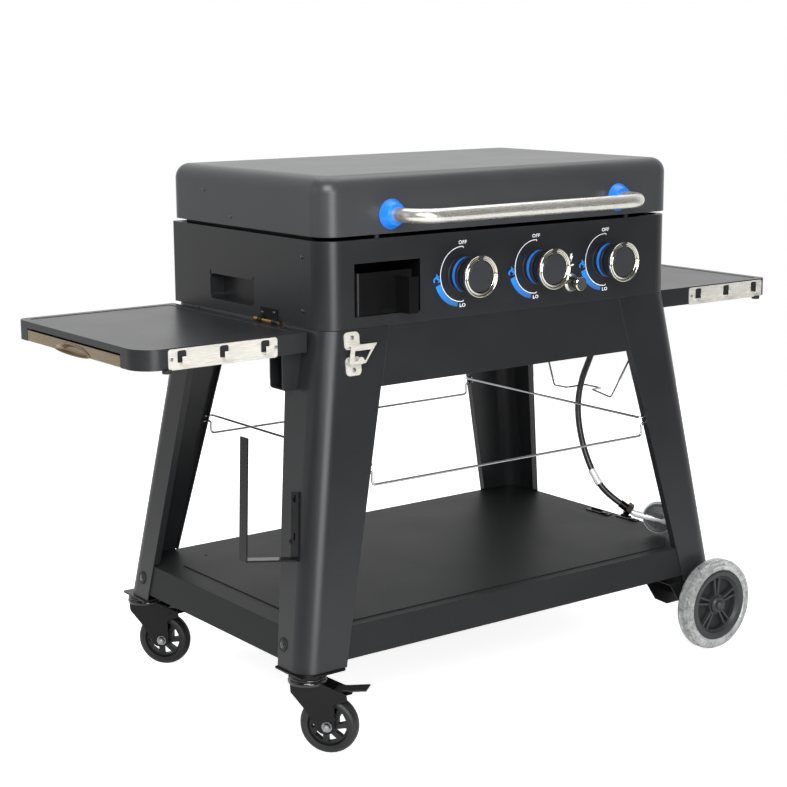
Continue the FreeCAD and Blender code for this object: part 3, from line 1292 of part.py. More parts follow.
def caster_plate(sign_y):
    """Top plate with the upper race and the kingpin."""
    x0 = -side_x(LEG_FOOT_Z) - 5
    y_out = front_y(LEG_FOOT_Z) + 5
    z1 = LEG_FOOT_Z
    z0 = z1 - CASTER_PLATE_T
    plate = plan_block(x0, x0 + CASTER_PLATE_W, -y_out, -y_out + CASTER_PLATE_D, (4.0,) * 4, z0, z1)
    plate = plate if sign_y < 0 else mirror_y(plate)
    centre = V(-CASTER_X, sign_y * CASTER_Y, 0)
    race_z = FORK_TOP_Z + PART_GAP
    race = rod(centre + UP * race_z, UP, RACE_D, z0 - race_z)
    pin_foot = FORK_TOP_Z - FORK_CROWN_H - 3
    pin = rod(centre + UP * pin_foot, UP, KINGPIN_D, z0 - pin_foot)
    return join(plate, race, pin)


def fork_cheek(y0):
    """Side cheek of the fork: wide crown, brake housing and the round axle eye."""
    r = CASTER_D / 2
    eye = 13.0
    top = FORK_TOP_Z - 4
    outline = [((-26.0, top), 3.0), ((-25.0, 108.0), 8.0), ((4.0, 74.0), 10.0),
               ((CASTER_TRAIL - eye, r - eye), eye - 1), ((CASTER_TRAIL + eye, r - eye), eye - 1),
               ((CASTER_TRAIL + eye, 92.0), 4.0), ((74.0, 99.0), 3.0), ((72.0, 110.0), 3.0), ((28.0, top), 6.0)]
    wire = rounded_wire([(V(x, y0, z), radius) for (x, z), radius in outline])
    cheek = Part.Face(wire).extrude(V(0, FORK_T, 0))
    return cheek.cut(rod(V(CASTER_TRAIL, y0 - 1, r), BACK, CASTER_AXLE_D, FORK_T + 2))


def caster_fork(sign_y):
    """Fork: crown with the lower race, two cheeks, brake housing and the axle bolt."""
    inner = CASTER_W / 2 + FORK_GAP
    z1 = FORK_TOP_Z
    z0 = z1 - FORK_CROWN_H
    crown = rod(V(0, 0, z0), UP, RACE_D + 2, FORK_CROWN_H)
    web = box(-24, 30, -inner - FORK_T, inner + FORK_T, z0, z0 + 4)
    fork = join(crown, web, fork_cheek(-inner - FORK_T), fork_cheek(inner))
    fork = fork.cut(rod(V(0, 0, z0 - 5), UP, KINGPIN_D + 2 * RUN_FIT, FORK_CROWN_H + 10))
    r = CASTER_D / 2
    reach = inner + FORK_T + 7
    bolt = rod(V(CASTER_TRAIL, -reach, r), BACK, CASTER_AXLE_D, 2 * reach)
    nuts = [hexagon(V(CASTER_TRAIL, y, r), BACK, 13.0, 6.0) for y in (-inner - FORK_T - 6, inner + FORK_T)]
    pin_y = inner + FORK_T + 1
    pedal_pin = rod(V(PEDAL_PIVOT_X, -pin_y, PEDAL_PIVOT_Z - 3), BACK, PEDAL_PIN_D, 2 * pin_y)
    return place_caster(join(fork, bolt, *nuts, pedal_pin), sign_y)


def caster_wheel(sign_y):
    """Caster wheel with a rounded tyre and twisted windows between its spokes."""
    r = CASTER_D / 2
    hw = CASTER_W / 2
    rim = CASTER_RIM_D / 2
    hub = CASTER_HUB_D / 2
    x = CASTER_TRAIL
    edge = 5.0
    web = 6.0
    half = [(CASTER_AXLE_D / 2 + RUN_FIT, 0), (CASTER_AXLE_D / 2 + RUN_FIT, hw), (hub, hw), (hub + 1, web),
            (rim - 2, web), (rim, hw - 2), (r - edge - 4, hw - 0.6), (r - edge, hw - 2.6), (r - 1.5, hw - 7),
            (r, hw - 12)]
    full = half + [(rr, -yy) for rr, yy in reversed(half[1:])]
    wheel = revolve([(x + rr, yy, r) for rr, yy in full], V(x, 0, r), BACK)
    for i in range(CASTER_SPOKES):
        wheel = wheel.cut(caster_window(i, hub + 3, rim - 4))
    return place_caster(wheel, sign_y)


def caster_window(index, inner, outer):
    """One slanting window of the caster wheel."""
    step = 360.0 / CASTER_SPOKES
    places = ((inner, 4.0), (inner, 24.0), (outer, 44.0), (outer, 10.0))
    points = []
    for radius, angle in places:
        a = math.radians(index * step + angle)
        points.append(V(CASTER_TRAIL + radius * math.cos(a), -CASTER_W, CASTER_D / 2 + radius * math.sin(a)))
    wire = rounded_wire([(p, 1.5) for p in points])
    return Part.Face(wire).extrude(V(0, 2 * CASTER_W, 0))


def brake_pedal(sign_y):
    """Brake pedal: pad arm on the housing pins and a foot tab that stands out."""
    hw = PEDAL_W / 2
    x0 = PEDAL_PIVOT_X
    z0 = PEDAL_PIVOT_Z
    t = PEDAL_T
    arm = prism([(x0 - 6, -hw, z0 + 4), (x0 - 6, -hw, z0 + 4 + t), (x0 + 22, -hw, z0 + 6 + t),
                 (x0 + 22, -hw, z0 + 6)], V(0, 2 * hw, 0))
    tab = prism([(x0 + 20, -hw - 2, z0 + 5.5), (x0 + 20, -hw - 2, z0 + 5.5 + t),
                 (x0 + PEDAL_L, -hw - 2, z0 + 9 + t), (x0 + PEDAL_L, -hw - 2, z0 + 9)], V(0, 2 * hw + 4, 0))
    lugs = []
    inner = CASTER_W / 2 + FORK_GAP
    for y in (-hw, hw - 2.0):
        eye = rod(V(x0, y, z0 - 3), BACK, PEDAL_PIN_D + 5, 2.0)
        web = box(x0 - 5, x0 + 5, y, y + 2.0, z0 - 3, z0 + 6)
        lugs.append(eye.fuse(web).cut(rod(V(x0, y - 1, z0 - 3), BACK, PEDAL_PIN_D + 2 * RUN_FIT, 4)))
    return place_caster(join(arm, tab, *lugs), sign_y)


# Big wheels, drawn at the front right and mirrored for the back


def axle_bracket():
    """Channel bracket under the front right leg that carries the wheel's axle."""
    top = LEG_FOOT_Z
    foot = AXLE_BRACKET_FOOT_Z
    y0 = -front_y(top)
    y1 = y0 + AXLE_BRACKET_W
    x1 = side_x(top)
    outline = [(AXLE_BRACKET_X0, y0, top), (x1, y0, top), (x1 - 4, y0, foot), (WHEEL_X - 30, y0, foot),
               (AXLE_BRACKET_X0 + 38, y0, foot + 16)]
    t = AXLE_BRACKET_T
    block = prism(outline, V(0, y1 - y0, 0))
    hollow = block.translated(V(0, t, -t)).common(block.translated(V(0, -t, -t)))
    bracket = block.cut(hollow)
    return bracket.cut(rod(V(WHEEL_X, y0 - 1, WHEEL_D / 2), BACK, WHEEL_AXLE_D + 2 * RUN_FIT, y1 - y0 + 2))


def wheel_axle():
    """Shouldered axle bolt with its cap and cotter end."""
    y0 = -WHEEL_OUT_Y - 3
    y1 = -front_y(LEG_FOOT_Z) + AXLE_BRACKET_W + 6
    bolt = rod(V(WHEEL_X, y0, WHEEL_D / 2), BACK, WHEEL_AXLE_D, y1 - y0)
    cap = cone(V(WHEEL_X, y0 - 4, WHEEL_D / 2), BACK, 13, 19, 4)
    head = rod(V(WHEEL_X, y0, WHEEL_D / 2), BACK, 19, 3 - PART_GAP)
    inner = -WHEEL_OUT_Y + WHEEL_W + PART_GAP
    spacer = rod(V(WHEEL_X, inner, WHEEL_D / 2), BACK, 20, -front_y(LEG_FOOT_Z) - inner)
    return join(bolt, cap, head, spacer)


def wheel_hub():
    """Wheel centre: rim, hub and five pairs of spokes."""
    r = WHEEL_RIM_D / 2
    hub = WHEEL_HUB_D / 2
    window = WHEEL_WINDOW_D / 2
    y0 = -WHEEL_OUT_Y
    y1 = y0 + WHEEL_W
    bore = WHEEL_AXLE_D / 2 + RUN_FIT
    web0 = y0 + 9
    web1 = web0 + WHEEL_WEB_T
    profile = [(bore, y0), (hub - 3, y0), (hub, y0 + 4), (hub, web0), (window, web0), (window + 4, y0 + 3),
               (r - 4, y0 + 1.5), (r, y0 + 3), (r, y1 - 3), (window + 2, y1 - 3), (window, web1), (hub, web1),
               (hub, y1), (bore, y1)]
    centre = V(WHEEL_X, 0, WHEEL_D / 2)
    wheel = revolve([(WHEEL_X + rr, y, WHEEL_D / 2) for rr, y in profile], centre, BACK)
    step = 360.0 / WHEEL_SPOKE_PAIRS
    for i in range(WHEEL_SPOKE_PAIRS):
        base = 90.0 + i * step
        for a0, a1 in ((10.0, step - 10.0), (-5.0, 5.0)):
            wheel = wheel.cut(spoke_window(base, a0, a1, hub + 3, window - 1.5, web0 - 1, web1 - WHEEL_BACK_T))
    return wheel


def spoke_window(base, a0, a1, inner, outer, y0, y1):
    """Deep recess between two spokes of the big wheel, closed by a thin back."""

    def at(radius, angle):
        a = math.radians(base + angle)
        return V(WHEEL_X + radius * math.cos(a), y0, WHEEL_D / 2 + radius * math.sin(a))

    narrow = (a1 - a0) < 20
    half = WHEEL_SPOKE_W / 2
    pull = math.degrees(half / inner) * (0.2 if narrow else 0.6)
    first = a0 + pull
    last = a1 - pull
    middle = (a0 + a1) / 2
    edges = [Part.Arc(at(inner, first), at(inner, middle), at(inner, last)).toShape(),
             Part.LineSegment(at(inner, last), at(outer, a1)).toShape(),
             Part.Arc(at(outer, a1), at(outer, middle), at(outer, a0)).toShape(),
             Part.LineSegment(at(outer, a0), at(inner, first)).toShape()]
    return Part.Face(Part.Wire(edges)).extrude(V(0, y1 - y0, 0))


def wheel_tyre():
    """Clear treaded tyre round the rim."""
    r = WHEEL_D / 2
    rim = WHEEL_RIM_D / 2 + 0.0
    y0 = -WHEEL_OUT_Y
    y1 = y0 + WHEEL_W
    profile = [(rim, y0 + 3), (rim + 2, y0 + 1), (r - 10, y0), (r - 3, y0 + 4), (r, y0 + 10), (r, y1 - 10),
               (r - 3, y1 - 4), (r - 10, y1), (rim + 2, y1 - 1), (rim, y1 - 3)]
    centre = V(WHEEL_X, 0, WHEEL_D / 2)
    tyre = revolve([(WHEEL_X + rr, y, WHEEL_D / 2) for rr, y in profile], centre, BACK)
    groove = box(WHEEL_X + r - TREAD_DEPTH, WHEEL_X + r + 2, y0 - 1, y0 + 9, WHEEL_D / 2 - 1.5, WHEEL_D / 2 + 1.5)
    cuts = []
    for i in range(TREAD_COUNT):
        cut = groove.copy()
        cut.rotate(centre, BACK, (i + 0.5) * 360.0 / TREAD_COUNT)
        cuts.append(cut)
    return tyre.cut(Part.makeCompound(cuts))


# Head lock parts


def lock_eye(y, length):
    """Eye round the left lock pin."""
    return rod(V(-LOCK_PIN_X, y, LOCK_PIN_Z), BACK, LOCK_EYE_D, length)


def lock_bore():
    """Running bore of the left lock pin."""
    y0 = LOCK_LUG_Y - LOCK_EYE_L
    y1 = LOCK_Y1 + LOCK_EYE_L
    return rod(V(-LOCK_PIN_X, y0, LOCK_PIN_Z), BACK, LOCK_PIN_D + 2 * RUN_FIT, y1 - y0)


def lock_bracket():
    """Plate on the head's left side with two eyes for the lock pin."""
    x1 = -HEAD_HW
    bracket = box(x1 - SHEET, x1, LOCK_Y0, LOCK_Y1, LOCK_Z0, LOCK_Z1)
    for y in (LOCK_Y0, LOCK_Y1 - LOCK_EYE_L):
        web = box(-LOCK_PIN_X, x1 - PART_GAP, y, y + LOCK_EYE_L, LOCK_PIN_Z, LOCK_PIN_Z + 6)
        bracket = join(bracket, lock_eye(y, LOCK_EYE_L), web)
    return bracket.cut(lock_bore())


def lock_lug():
    """Eye on the left side rail that the lock pin enters."""
    web = box(-LOCK_PIN_X, -HEAD_HW - 0.2, LOCK_LUG_Y, LOCK_LUG_Y + LOCK_LUG_T, LOCK_PIN_Z - 6, LOCK_PIN_Z)
    return lock_eye(LOCK_LUG_Y, LOCK_LUG_T).fuse(web).cut(lock_bore())


def lock_pin():
    """Sliding lock pin with a grip at its back end."""
    y0 = LOCK_LUG_Y - 2
    pin = rod(V(-LOCK_PIN_X, y0, LOCK_PIN_Z), BACK, LOCK_PIN_D, LOCK_GRIP_Y - y0)
    return pin.fuse(rod(V(-LOCK_PIN_X, LOCK_GRIP_Y, LOCK_PIN_Z), BACK, LOCK_GRIP_D, LOCK_GRIP_L)).removeSplitter()


def build():
    """Makes every node of the station."""
    keep("head_front_panel", head_front_panel())
    keep("head_wrap", head_wrap(), grip_pocket(), mirror_x(grip_pocket()))
    keep("head_floor", head_floor())
    keep("griddle_plate", griddle_plate())
    keep("lid_shell", lid_shell())
    keep("lid_handle", lid_handle())
    keep("lid_handle_bezels", *[lid_handle_bezel(s * HANDLE_SPAN / 2) for s in (-1, 1)])
    keep("lid_hinge_leaves", *[lid_hinge_leaf(s * HINGE_X) for s in (-1, 1)])
    keep("body_hinge_leaves", *[body_hinge_leaf(s * HINGE_X) for s in (-1, 1)])
    for i, x in enumerate(DIAL_X, 1):
        keep("knob_%d" % i, *knob(x))
        keep("stem_%d" % i, valve_stem(x))
    keep("valves", *[gas_valve(x) for x in DIAL_X])
    keep("knob_bezels", *[knob_bezel(x) for x in DIAL_X])
    keep("igniter_body", igniter_body())
    keep("igniter_button", igniter_button())
    keep("cup_housing", cup_housing())
    keep("grease_cup", grease_cup())
    keep("gas_manifold", gas_manifold())
    keep("burners", *[burner(a, b) for a, b in zip(DIAL_X, BURNER_X)])
    keep("lock_brackets", lock_bracket(), mirror_x(lock_bracket()))
    keep("lock_pin_left", lock_pin())
    keep("lock_pin_right", mirror_x(lock_pin()))
    for name, sx, sy in (("leg_front_left", -1, -1), ("leg_front_right", 1, -1),
                         ("leg_rear_left", -1, 1), ("leg_rear_right", 1, 1)):
        keep(name, leg(sx, sy))
    keep("apron_front", apron_front())
    keep("cart_rails", mirror_y(apron_front()), side_rail(), mirror_x(side_rail()))
    keep("bottom_shelf", bottom_shelf())
    brackets = [shelf_bracket(y) for y in (BRACKET_FRONT_Y, BRACKET_BACK_Y - BRACKET_W)]
    keep("shelf_brackets", *brackets, *[mirror_x(b) for b in brackets])
    keep("side_shelf_left", side_shelf_left())
    keep("side_shelf_right", mirror_x(side_shelf(SHELF_R)))
    keep("pull_board", pull_board())
    keep("hook_strip_left", hook_strip(STRIP_LEFT_X, STRIP_LEFT_WINDOWS))
    keep("hook_strip_right", hook_strip(STRIP_RIGHT_X, STRIP_RIGHT_WINDOWS))
    front_rail = front_wire_rail()
    left_rail = side_wire_rail()
    keep("wire_rails", front_rail, mirror_y(front_rail), left_rail, mirror_x(left_rail))
    keep("tank_hanger", tank_hanger())
    keep("bottle_opener", bottle_opener())
    keep("towel_post", towel_post())
    keep("caster_plates", caster_plate(-1), caster_plate(1))
    for name, sign in (("front", -1), ("rear", 1)):
        keep("caster_fork_" + name, caster_fork(sign))
        keep("caster_wheel_" + name, caster_wheel(sign))
        keep("brake_pedal_" + name, brake_pedal(sign))
    keep("axle_brackets", axle_bracket(), mirror_y(axle_bracket()))
    keep("wheel_axles", wheel_axle(), mirror_y(wheel_axle()))
    keep("wheel_hub_front", wheel_hub())
    keep("wheel_hub_rear", mirror_y(wheel_hub()))
    keep("wheel_tyre_front", wheel_tyre())
    keep("wheel_tyre_rear", mirror_y(wheel_tyre()))
    keep("gas_hose", gas_hose())
    keep("inlet_fitting", inlet_fitting())
    first, last = hose_directions()
    keep("regulator_nut", hose_end(V(*HOSE_POINTS[-1]), last))
    keep("regulator", regulator())


os.makedirs("parts", exist_ok=True)
build()
for node_name, node_shape in NODES.items():
    node_shape.exportStep("parts/%s.step" % node_name)
print(len(NODES), "nodes")
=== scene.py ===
"""Looks of an outdoor gas griddle station: its finishes, hose, dials and fasteners."""

import logging
import math
from dataclasses import dataclass
from enum import Enum
from functools import cache
from typing import Iterable, Sequence

import bmesh
import bpy
from bpy.types import Curve, Material, Mesh, Node, NodeSocket, NodeTree, Object
from mathutils import Matrix, Vector

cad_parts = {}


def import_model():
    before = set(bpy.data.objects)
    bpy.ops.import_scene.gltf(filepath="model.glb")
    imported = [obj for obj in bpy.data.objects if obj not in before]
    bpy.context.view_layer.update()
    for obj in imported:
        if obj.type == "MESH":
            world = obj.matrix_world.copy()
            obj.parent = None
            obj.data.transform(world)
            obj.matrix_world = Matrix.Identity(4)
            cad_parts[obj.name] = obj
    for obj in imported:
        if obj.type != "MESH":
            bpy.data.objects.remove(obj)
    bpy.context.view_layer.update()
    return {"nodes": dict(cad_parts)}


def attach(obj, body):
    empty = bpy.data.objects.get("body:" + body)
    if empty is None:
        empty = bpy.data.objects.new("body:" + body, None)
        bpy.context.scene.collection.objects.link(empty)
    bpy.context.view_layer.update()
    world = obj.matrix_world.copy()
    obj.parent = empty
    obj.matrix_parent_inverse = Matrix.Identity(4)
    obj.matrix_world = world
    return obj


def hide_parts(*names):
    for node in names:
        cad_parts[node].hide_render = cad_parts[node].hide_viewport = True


LOG = logging.getLogger("griddle_station")
MM = 0.001
Point = Sequence[float]
Pair = tuple[float, float]
Profile = Sequence[Pair]
Form = bmesh.types.BMesh
WHITE = (1.0, 1.0, 1.0, 1.0)

# The front panel's plane, the dials' places on it and its ink's thickness, in millimetres.
PANEL_Y = -250.0
DIAL_X = (-108.4, 61.5, 232.0)
DIAL_Z = 783.0
INK_MM = 0.08


def linear(hex_colour: str) -> tuple[float, float, float, float]:
    """Turns an sRGB hex colour into linear values.

    Args:
        hex_colour: Six hex digits after a hash sign.

    Returns:
        Linear red, green and blue, with an alpha of one.
    """
    channels = [int(hex_colour[i : i + 2], 16) / 255 for i in (1, 3, 5)]
    values = [c / 12.92 if c <= 0.04045 else ((c + 0.055) / 1.055) ** 2.4 for c in channels]
    return values[0], values[1], values[2], 1.0


def add_node(tree: NodeTree, kind: str, inputs: dict | None = None, **settings: object) -> Node:
    """Adds one node with its settings, and sets or links its inputs.

    Args:
        tree: The material's or world's node tree.
        kind: The node's type name without ShaderNode before it.
        inputs: Values or output sockets by input name or number.
        settings: The node's own options.

    Returns:
        The new node.
    """
    node = tree.nodes.new(f"ShaderNode{kind}")
    for key, value in settings.items():
        setattr(node, key, value)
    for key, value in (inputs or {}).items():
        if isinstance(value, NodeSocket):
            tree.links.new(value, node.inputs[key])
        else:
            node.inputs[key].default_value = value
    return node


def bare_material(name: str) -> Material:
    """Makes a material with an empty node tree.

    Args:
        name: The material's name.

    Returns:
        The material.
    """
    made = bpy.data.materials.new(name)
    made.use_nodes = True
    made.node_tree.nodes.clear()
    return made


def shade(tree: NodeTree, inputs: dict) -> None:
    """Ends a material's node tree with one principled shader that has these inputs."""
    shader = add_node(tree, "BsdfPrincipled", inputs)
    add_node(tree, "OutputMaterial", {"Surface": shader.outputs[0]})


@dataclass(frozen=True)
class Finish:
    """A surface whose fine grain changes its colour, gloss and relief.

    The tones are its darkest and lightest colour, and rough its lowest and highest roughness.
    """

    name: str
    tones: tuple[str, str]
    grain_mm: float
    relief_mm: float
    rough: Pair
    slot: str
    metallic: float = 0.0
    coat: float = 0.0
    coat_rough: float = 0.2
    edge_mm: float = 0.0
    stretch: Point = (1.0, 1.0, 1.0)
    transmission: float = 0.0
    ior: float = 1.5
    cloud_mm: float = 120.0
    cloud: float = 0.35
    specular: float = 0.5
    # Noise runs from 0 to 1 in name; nearly all of it lies inside these spans.
    tone_span: Pair = (0.32, 0.68)
    rough_span: Pair = (0.3, 0.7)

    @cache
    def material(self) -> Material:
        """Builds the material, once.

        Returns:
            A node material with cloudy colour, uneven gloss and a fine relief.
        """
        made = bare_material(self.name)
        tree = made.node_tree
        place = add_node(tree, "TexCoord").outputs["Object"]
        scale = tuple(s / (self.grain_mm * MM) for s in self.stretch)
        drawn = add_node(tree, "Mapping", {"Vector": place, "Scale": scale}).outputs[0]
        grain = add_node(tree, "TexNoise", {"Vector": drawn, "Scale": 1.0, "Detail": 3.0})
        wide = {"Vector": place, "Scale": 1 / (self.cloud_mm * MM), "Detail": 4.0}
        cloud = add_node(tree, "TexNoise", wide)
        mixed = {0: self.cloud, 2: grain.outputs["Fac"], 3: cloud.outputs["Fac"]}
        blend = add_node(tree, "Mix", mixed, data_type="FLOAT")
        colour = add_node(tree, "ValToRGB", {"Fac": blend.outputs[0]})
        for stop, at, tone in zip(colour.color_ramp.elements, self.tone_span, self.tones):
            stop.position = at
            stop.color = linear(tone)
        dull = {
            "Value": blend.outputs[0],
            "From Min": self.rough_span[0],
            "From Max": self.rough_span[1],
            "To Min": self.rough[0],
            "To Max": self.rough[1],
        }
        rough = add_node(tree, "MapRange", dull)
        relief = {"Height": grain.outputs["Fac"], "Distance": self.relief_mm * MM, "Strength": 1.0}
        bump = add_node(tree, "Bump", relief)
        if self.edge_mm:
            edge = add_node(tree, "Bevel", {"Radius": self.edge_mm * MM}, samples=4)
            tree.links.new(edge.outputs[0], bump.inputs["Normal"])
        skin = {
            "Base Color": colour.outputs[0],
            "Roughness": rough.outputs[0],
            "Normal": bump.outputs[0],
            "Metallic": self.metallic,
            "Coat Weight": self.coat,
            "Coat Roughness": self.coat_rough,
            "Transmission Weight": self.transmission,
            "IOR": self.ior,
            "Specular IOR Level": self.specular,
        }
        shade(tree, skin)
        return made


@dataclass(frozen=True)
class FadingInk:
    """Screen ink that is laid thinner towards its foot, so the panel shows through there."""

    name: str
    full: str
    faint: str
    top_mm: float
    foot_mm: float
    slot: str
    speck_mm: float = 2 / 3
    wander_mm: float = 6.0
    rough: Pair = (0.38, 0.52)

    @cache
    def material(self) -> Material:
        """Builds the material, once.

        Returns:
            A node material whose colour sinks from full to faint with the height.
        """
        made = bare_material(self.name)
        tree = made.node_tree
        place = add_node(tree, "TexCoord").outputs["Object"]
        height = add_node(tree, "SeparateXYZ", {"Vector": place}).outputs["Z"]
        fine = {"Vector": place, "Scale": 1 / (self.speck_mm * MM), "Detail": 2.0}
        speck = add_node(tree, "TexNoise", fine).outputs["Fac"]
        shifted = {0: speck, 1: self.wander_mm * MM, 2: height}
        uneven = add_node(tree, "Math", shifted, operation="MULTIPLY_ADD").outputs[0]
        reach = {"Value": uneven, "From Min": self.foot_mm * MM, "From Max": self.top_mm * MM}
        share = add_node(tree, "MapRange", reach)
        colour = add_node(tree, "ValToRGB", {"Fac": share.outputs[0]})
        colour.color_ramp.elements[0].color = linear(self.faint)
        colour.color_ramp.elements[1].color = linear(self.full)
        dull = {"Value": speck, "To Min": self.rough[0], "To Max": self.rough[1]}
        rough = add_node(tree, "MapRange", dull)
        shade(tree, {"Base Color": colour.outputs[0], "Roughness": rough.outputs[0]})
        return made


class Coat(Enum):
    """Every finish on the station."""

    # Polyester powder coat baked on steel sheet: satin black, fine sandy grain, soft bright edges.
    POWDER = Finish(
        "powder_coated_steel", ("#1a1b1d", "#242527"), 0.9, 0.05, (0.28, 0.38), "powder_coat",
        edge_mm=1.2,
    )
    # The same coat on the lid, painted a shade lighter for the light that falls on it.
    LIT_LID_COAT = Finish(
        "lit_powder_coated_lid", ("#333436", "#3c3d3f"), 0.9, 0.05, (0.28, 0.38), "powder_coat",
        edge_mm=1.6,
    )
    # The same coat on the bottom shelf, made duller as painted shade from the head and legs above:
    # it hardly shines.
    SHADED_SHELF_COAT = Finish(
        "shaded_powder_coated_shelf", ("#1d1e1f", "#272829"), 0.9, 0.05, (0.42, 0.55), "powder_coat",
        edge_mm=1.4, specular=0.16,
    )
    # Thin black coat on bent small parts and forks: darker and smoother than the panels.
    DIP_COAT = Finish(
        "black_coated_pressing", ("#0a0a0b", "#121213"), 0.8, 0.02, (0.18, 0.30), "powder_coat",
        edge_mm=0.5, specular=0.25,
    )
    # Hot-rolled plate seasoned with oil: near black, patchy and slightly glossy.
    SEASONED = Finish(
        "seasoned_griddle_steel", ("#15130f", "#2a2622"), 3.0, 0.05, (0.3, 0.55), "cast_black",
        metallic=0.6, cloud=0.8,
    )
    # Stainless tube with a satin polish: fine lines along it draw out its lights.
    SATIN_TUBE = Finish(
        "satin_stainless_tube", ("#cbc8c0", "#efece4"), 0.9, 0.002, (0.2, 0.32), "stainless",
        metallic=0.85, stretch=(0.05, 1.0, 1.0), cloud=0.2,
    )
    # Stainless strip, brushed along its length: pale, with a soft streaky sheen.
    BRUSHED_X = Finish(
        "brushed_stainless_strip", ("#c4c1b9", "#ece9e1"), 0.5, 0.006, (0.34, 0.48), "stainless",
        metallic=0.45, stretch=(0.03, 1.0, 1.0), cloud=0.2, edge_mm=0.5,
    )
    # Stainless board, brushed along its length: warm, and painted dim for the shade of the shelf.
    BRUSHED_Y = Finish(
        "brushed_stainless_board", ("#8d8069", "#b7a88d"), 0.5, 0.006, (0.26, 0.42), "stainless",
        metallic=1.0, stretch=(1.0, 0.03, 1.0), cloud=0.25, edge_mm=0.6,
    )
    # Bright nickel and chrome plate on rings and igniter: near mirror, faintly warm.
    CHROME = Finish(
        "bright_nickel_chrome", ("#cfcdc0", "#e6e4d8"), 1.0, 0.002, (0.06, 0.13), "chrome_ring",
        metallic=1.0, edge_mm=0.3,
    )
    # Bright zinc plate on nuts and screws: a cool, slightly frosted shine.
    ZINC = Finish(
        "zinc_plated_steel", ("#8e9092", "#bdbfc1"), 1.2, 0.01, (0.24, 0.38), "zinc",
        metallic=1.0, edge_mm=0.3,
    )
    # Moulded blue collars under a clear coat: satin and slightly deep.
    BLUE = Finish(
        "blue_moulded_collar", ("#0a6fe0", "#1784f4"), 0.8, 0.006, (0.3, 0.4), "blue",
        coat=0.4, edge_mm=0.4,
    )
    # Moulded ABS of knobs, sleeves and pedals: matt with a fine spark-eroded grain.
    ABS = Finish(
        "moulded_black_abs", ("#141517", "#1d1e20"), 0.5, 0.02, (0.38, 0.5), "knob_plastic",
        edge_mm=0.3,
    )
    # Printed film on the knob's face: dark grey and even.
    FACE = Finish(
        "printed_knob_face", ("#232427", "#2e2f32"), 0.4, 0.012, (0.42, 0.5), "knob_plastic"
    )
    # Moulded glass-filled nylon of the big wheels: mid grey, slightly uneven, dull.
    NYLON = Finish(
        "moulded_grey_nylon", ("#242628", "#323436"), 0.8, 0.03, (0.40, 0.52), "hub", edge_mm=0.6
    )
    # Painted shade: the same nylon made near black on the deep floor of the wheels' windows, which
    # hardly any light reaches.
    DEEP = Finish("shaded_wheel_web", ("#0d0e0e", "#161717"), 0.8, 0.02, (0.5, 0.65), "hub")
    # Clear moulded PVC tyre: smoky grey, lets light through and catches it on its tread.
    TYRE = Finish(
        "clear_moulded_tyre", ("#858887", "#e0e3e0"), 5.0, 0.3, (0.05, 0.2), "tyre",
        transmission=0.55, coat=0.6, coat_rough=0.06, edge_mm=0.8, ior=1.42,
        cloud_mm=11.0, cloud=0.55,
    )
    # Moulded black polyurethane of the casters: dull, with a soft sheen on the tread.
    CASTER = Finish(
        "moulded_caster_wheel", ("#0e0f10", "#181919"), 0.7, 0.02, (0.4, 0.52), "caster_tyre",
        edge_mm=0.6,
    )
    # Glossy black paint on the swivel races and bolt heads: small sharp lights.
    RACE = Finish(
        "glossy_black_race", ("#101011", "#18181a"), 1.0, 0.004, (0.08, 0.16), "powder_coat",
        coat=0.6, coat_rough=0.06,
    )
    # Extruded rubber hose with a slightly shiny skin.
    RUBBER = Finish(
        "extruded_rubber_hose", ("#1b1b1c", "#262627"), 0.7, 0.02, (0.26, 0.38), "hose", coat=0.25
    )
    # Moulded rubber rests, bumpers and washers: black and quite matt.
    PAD = Finish("moulded_rubber_pad", ("#111112", "#1b1b1c"), 0.6, 0.02, (0.55, 0.7), "hose")
    # Die-cast zinc of the regulator's dish: bare grey and slightly frosted.
    DIE_CAST = Finish(
        "bright_die_casting", ("#5f6365", "#8d9193"), 1.4, 0.006, (0.22, 0.36), "regulator",
        metallic=0.7, edge_mm=0.6,
    )
    # Bare aluminium that was rolled or crimped bright: pale and softly shining.
    ALUMINIUM = Finish(
        "bright_rolled_aluminium", ("#dfe2e5", "#f7f9fa"), 0.8, 0.004, (0.2, 0.34), "regulator",
        metallic=0.3, edge_mm=0.3,
    )
    # Dark bronzed brass on the hose's nuts: brown-black with dull metal lights.
    BRONZE = Finish(
        "dark_bronzed_nut", ("#171513", "#2c2825"), 0.8, 0.01, (0.24, 0.36), "brass",
        metallic=1.0, edge_mm=0.4,
    )
    # Turned brass stems and lock pins: warm yellow with a fine lathe sheen.
    BRASS = Finish(
        "turned_brass", ("#a8843c", "#cda75a"), 0.7, 0.005, (0.2, 0.32), "brass",
        metallic=1.0, edge_mm=0.2,
    )
    # Hot-dip galvanised sheet inside the head: grey in soft patches.
    GALVANISED = Finish(
        "galvanised_sheet", ("#7b7e80", "#a0a3a5"), 6.0, 0.006, (0.32, 0.5), "galvanised",
        metallic=0.9, cloud=0.6,
    )
    # Cast aluminium valve bodies: pale grey with a sandy skin.
    CAST = Finish(
        "cast_aluminium", ("#85878a", "#a3a5a8"), 0.8, 0.03, (0.36, 0.52), "aluminium", metallic=0.9
    )
    # Drawn steel wire under bright plate: smooth, with pale and dark lines along it.
    WIRE = Finish(
        "bright_plated_wire", ("#b4b6b9", "#d9dbde"), 0.8, 0.004, (0.12, 0.22), "wire", metallic=1.0
    )
    # Screen-printed white marks on the front panel: opaque and dull.
    INK_WHITE = Finish(
        "white_screen_ink", ("#eceef1", "#fafbfc"), 0.3, 0.003, (0.45, 0.55), "knob_plastic"
    )
    # Screen-printed blue flames: opaque, bright and dull.
    INK_BLUE = Finish("blue_screen_ink", ("#0d84ee", "#1b92f8"), 0.3, 0.003, (0.4, 0.5), "blue")
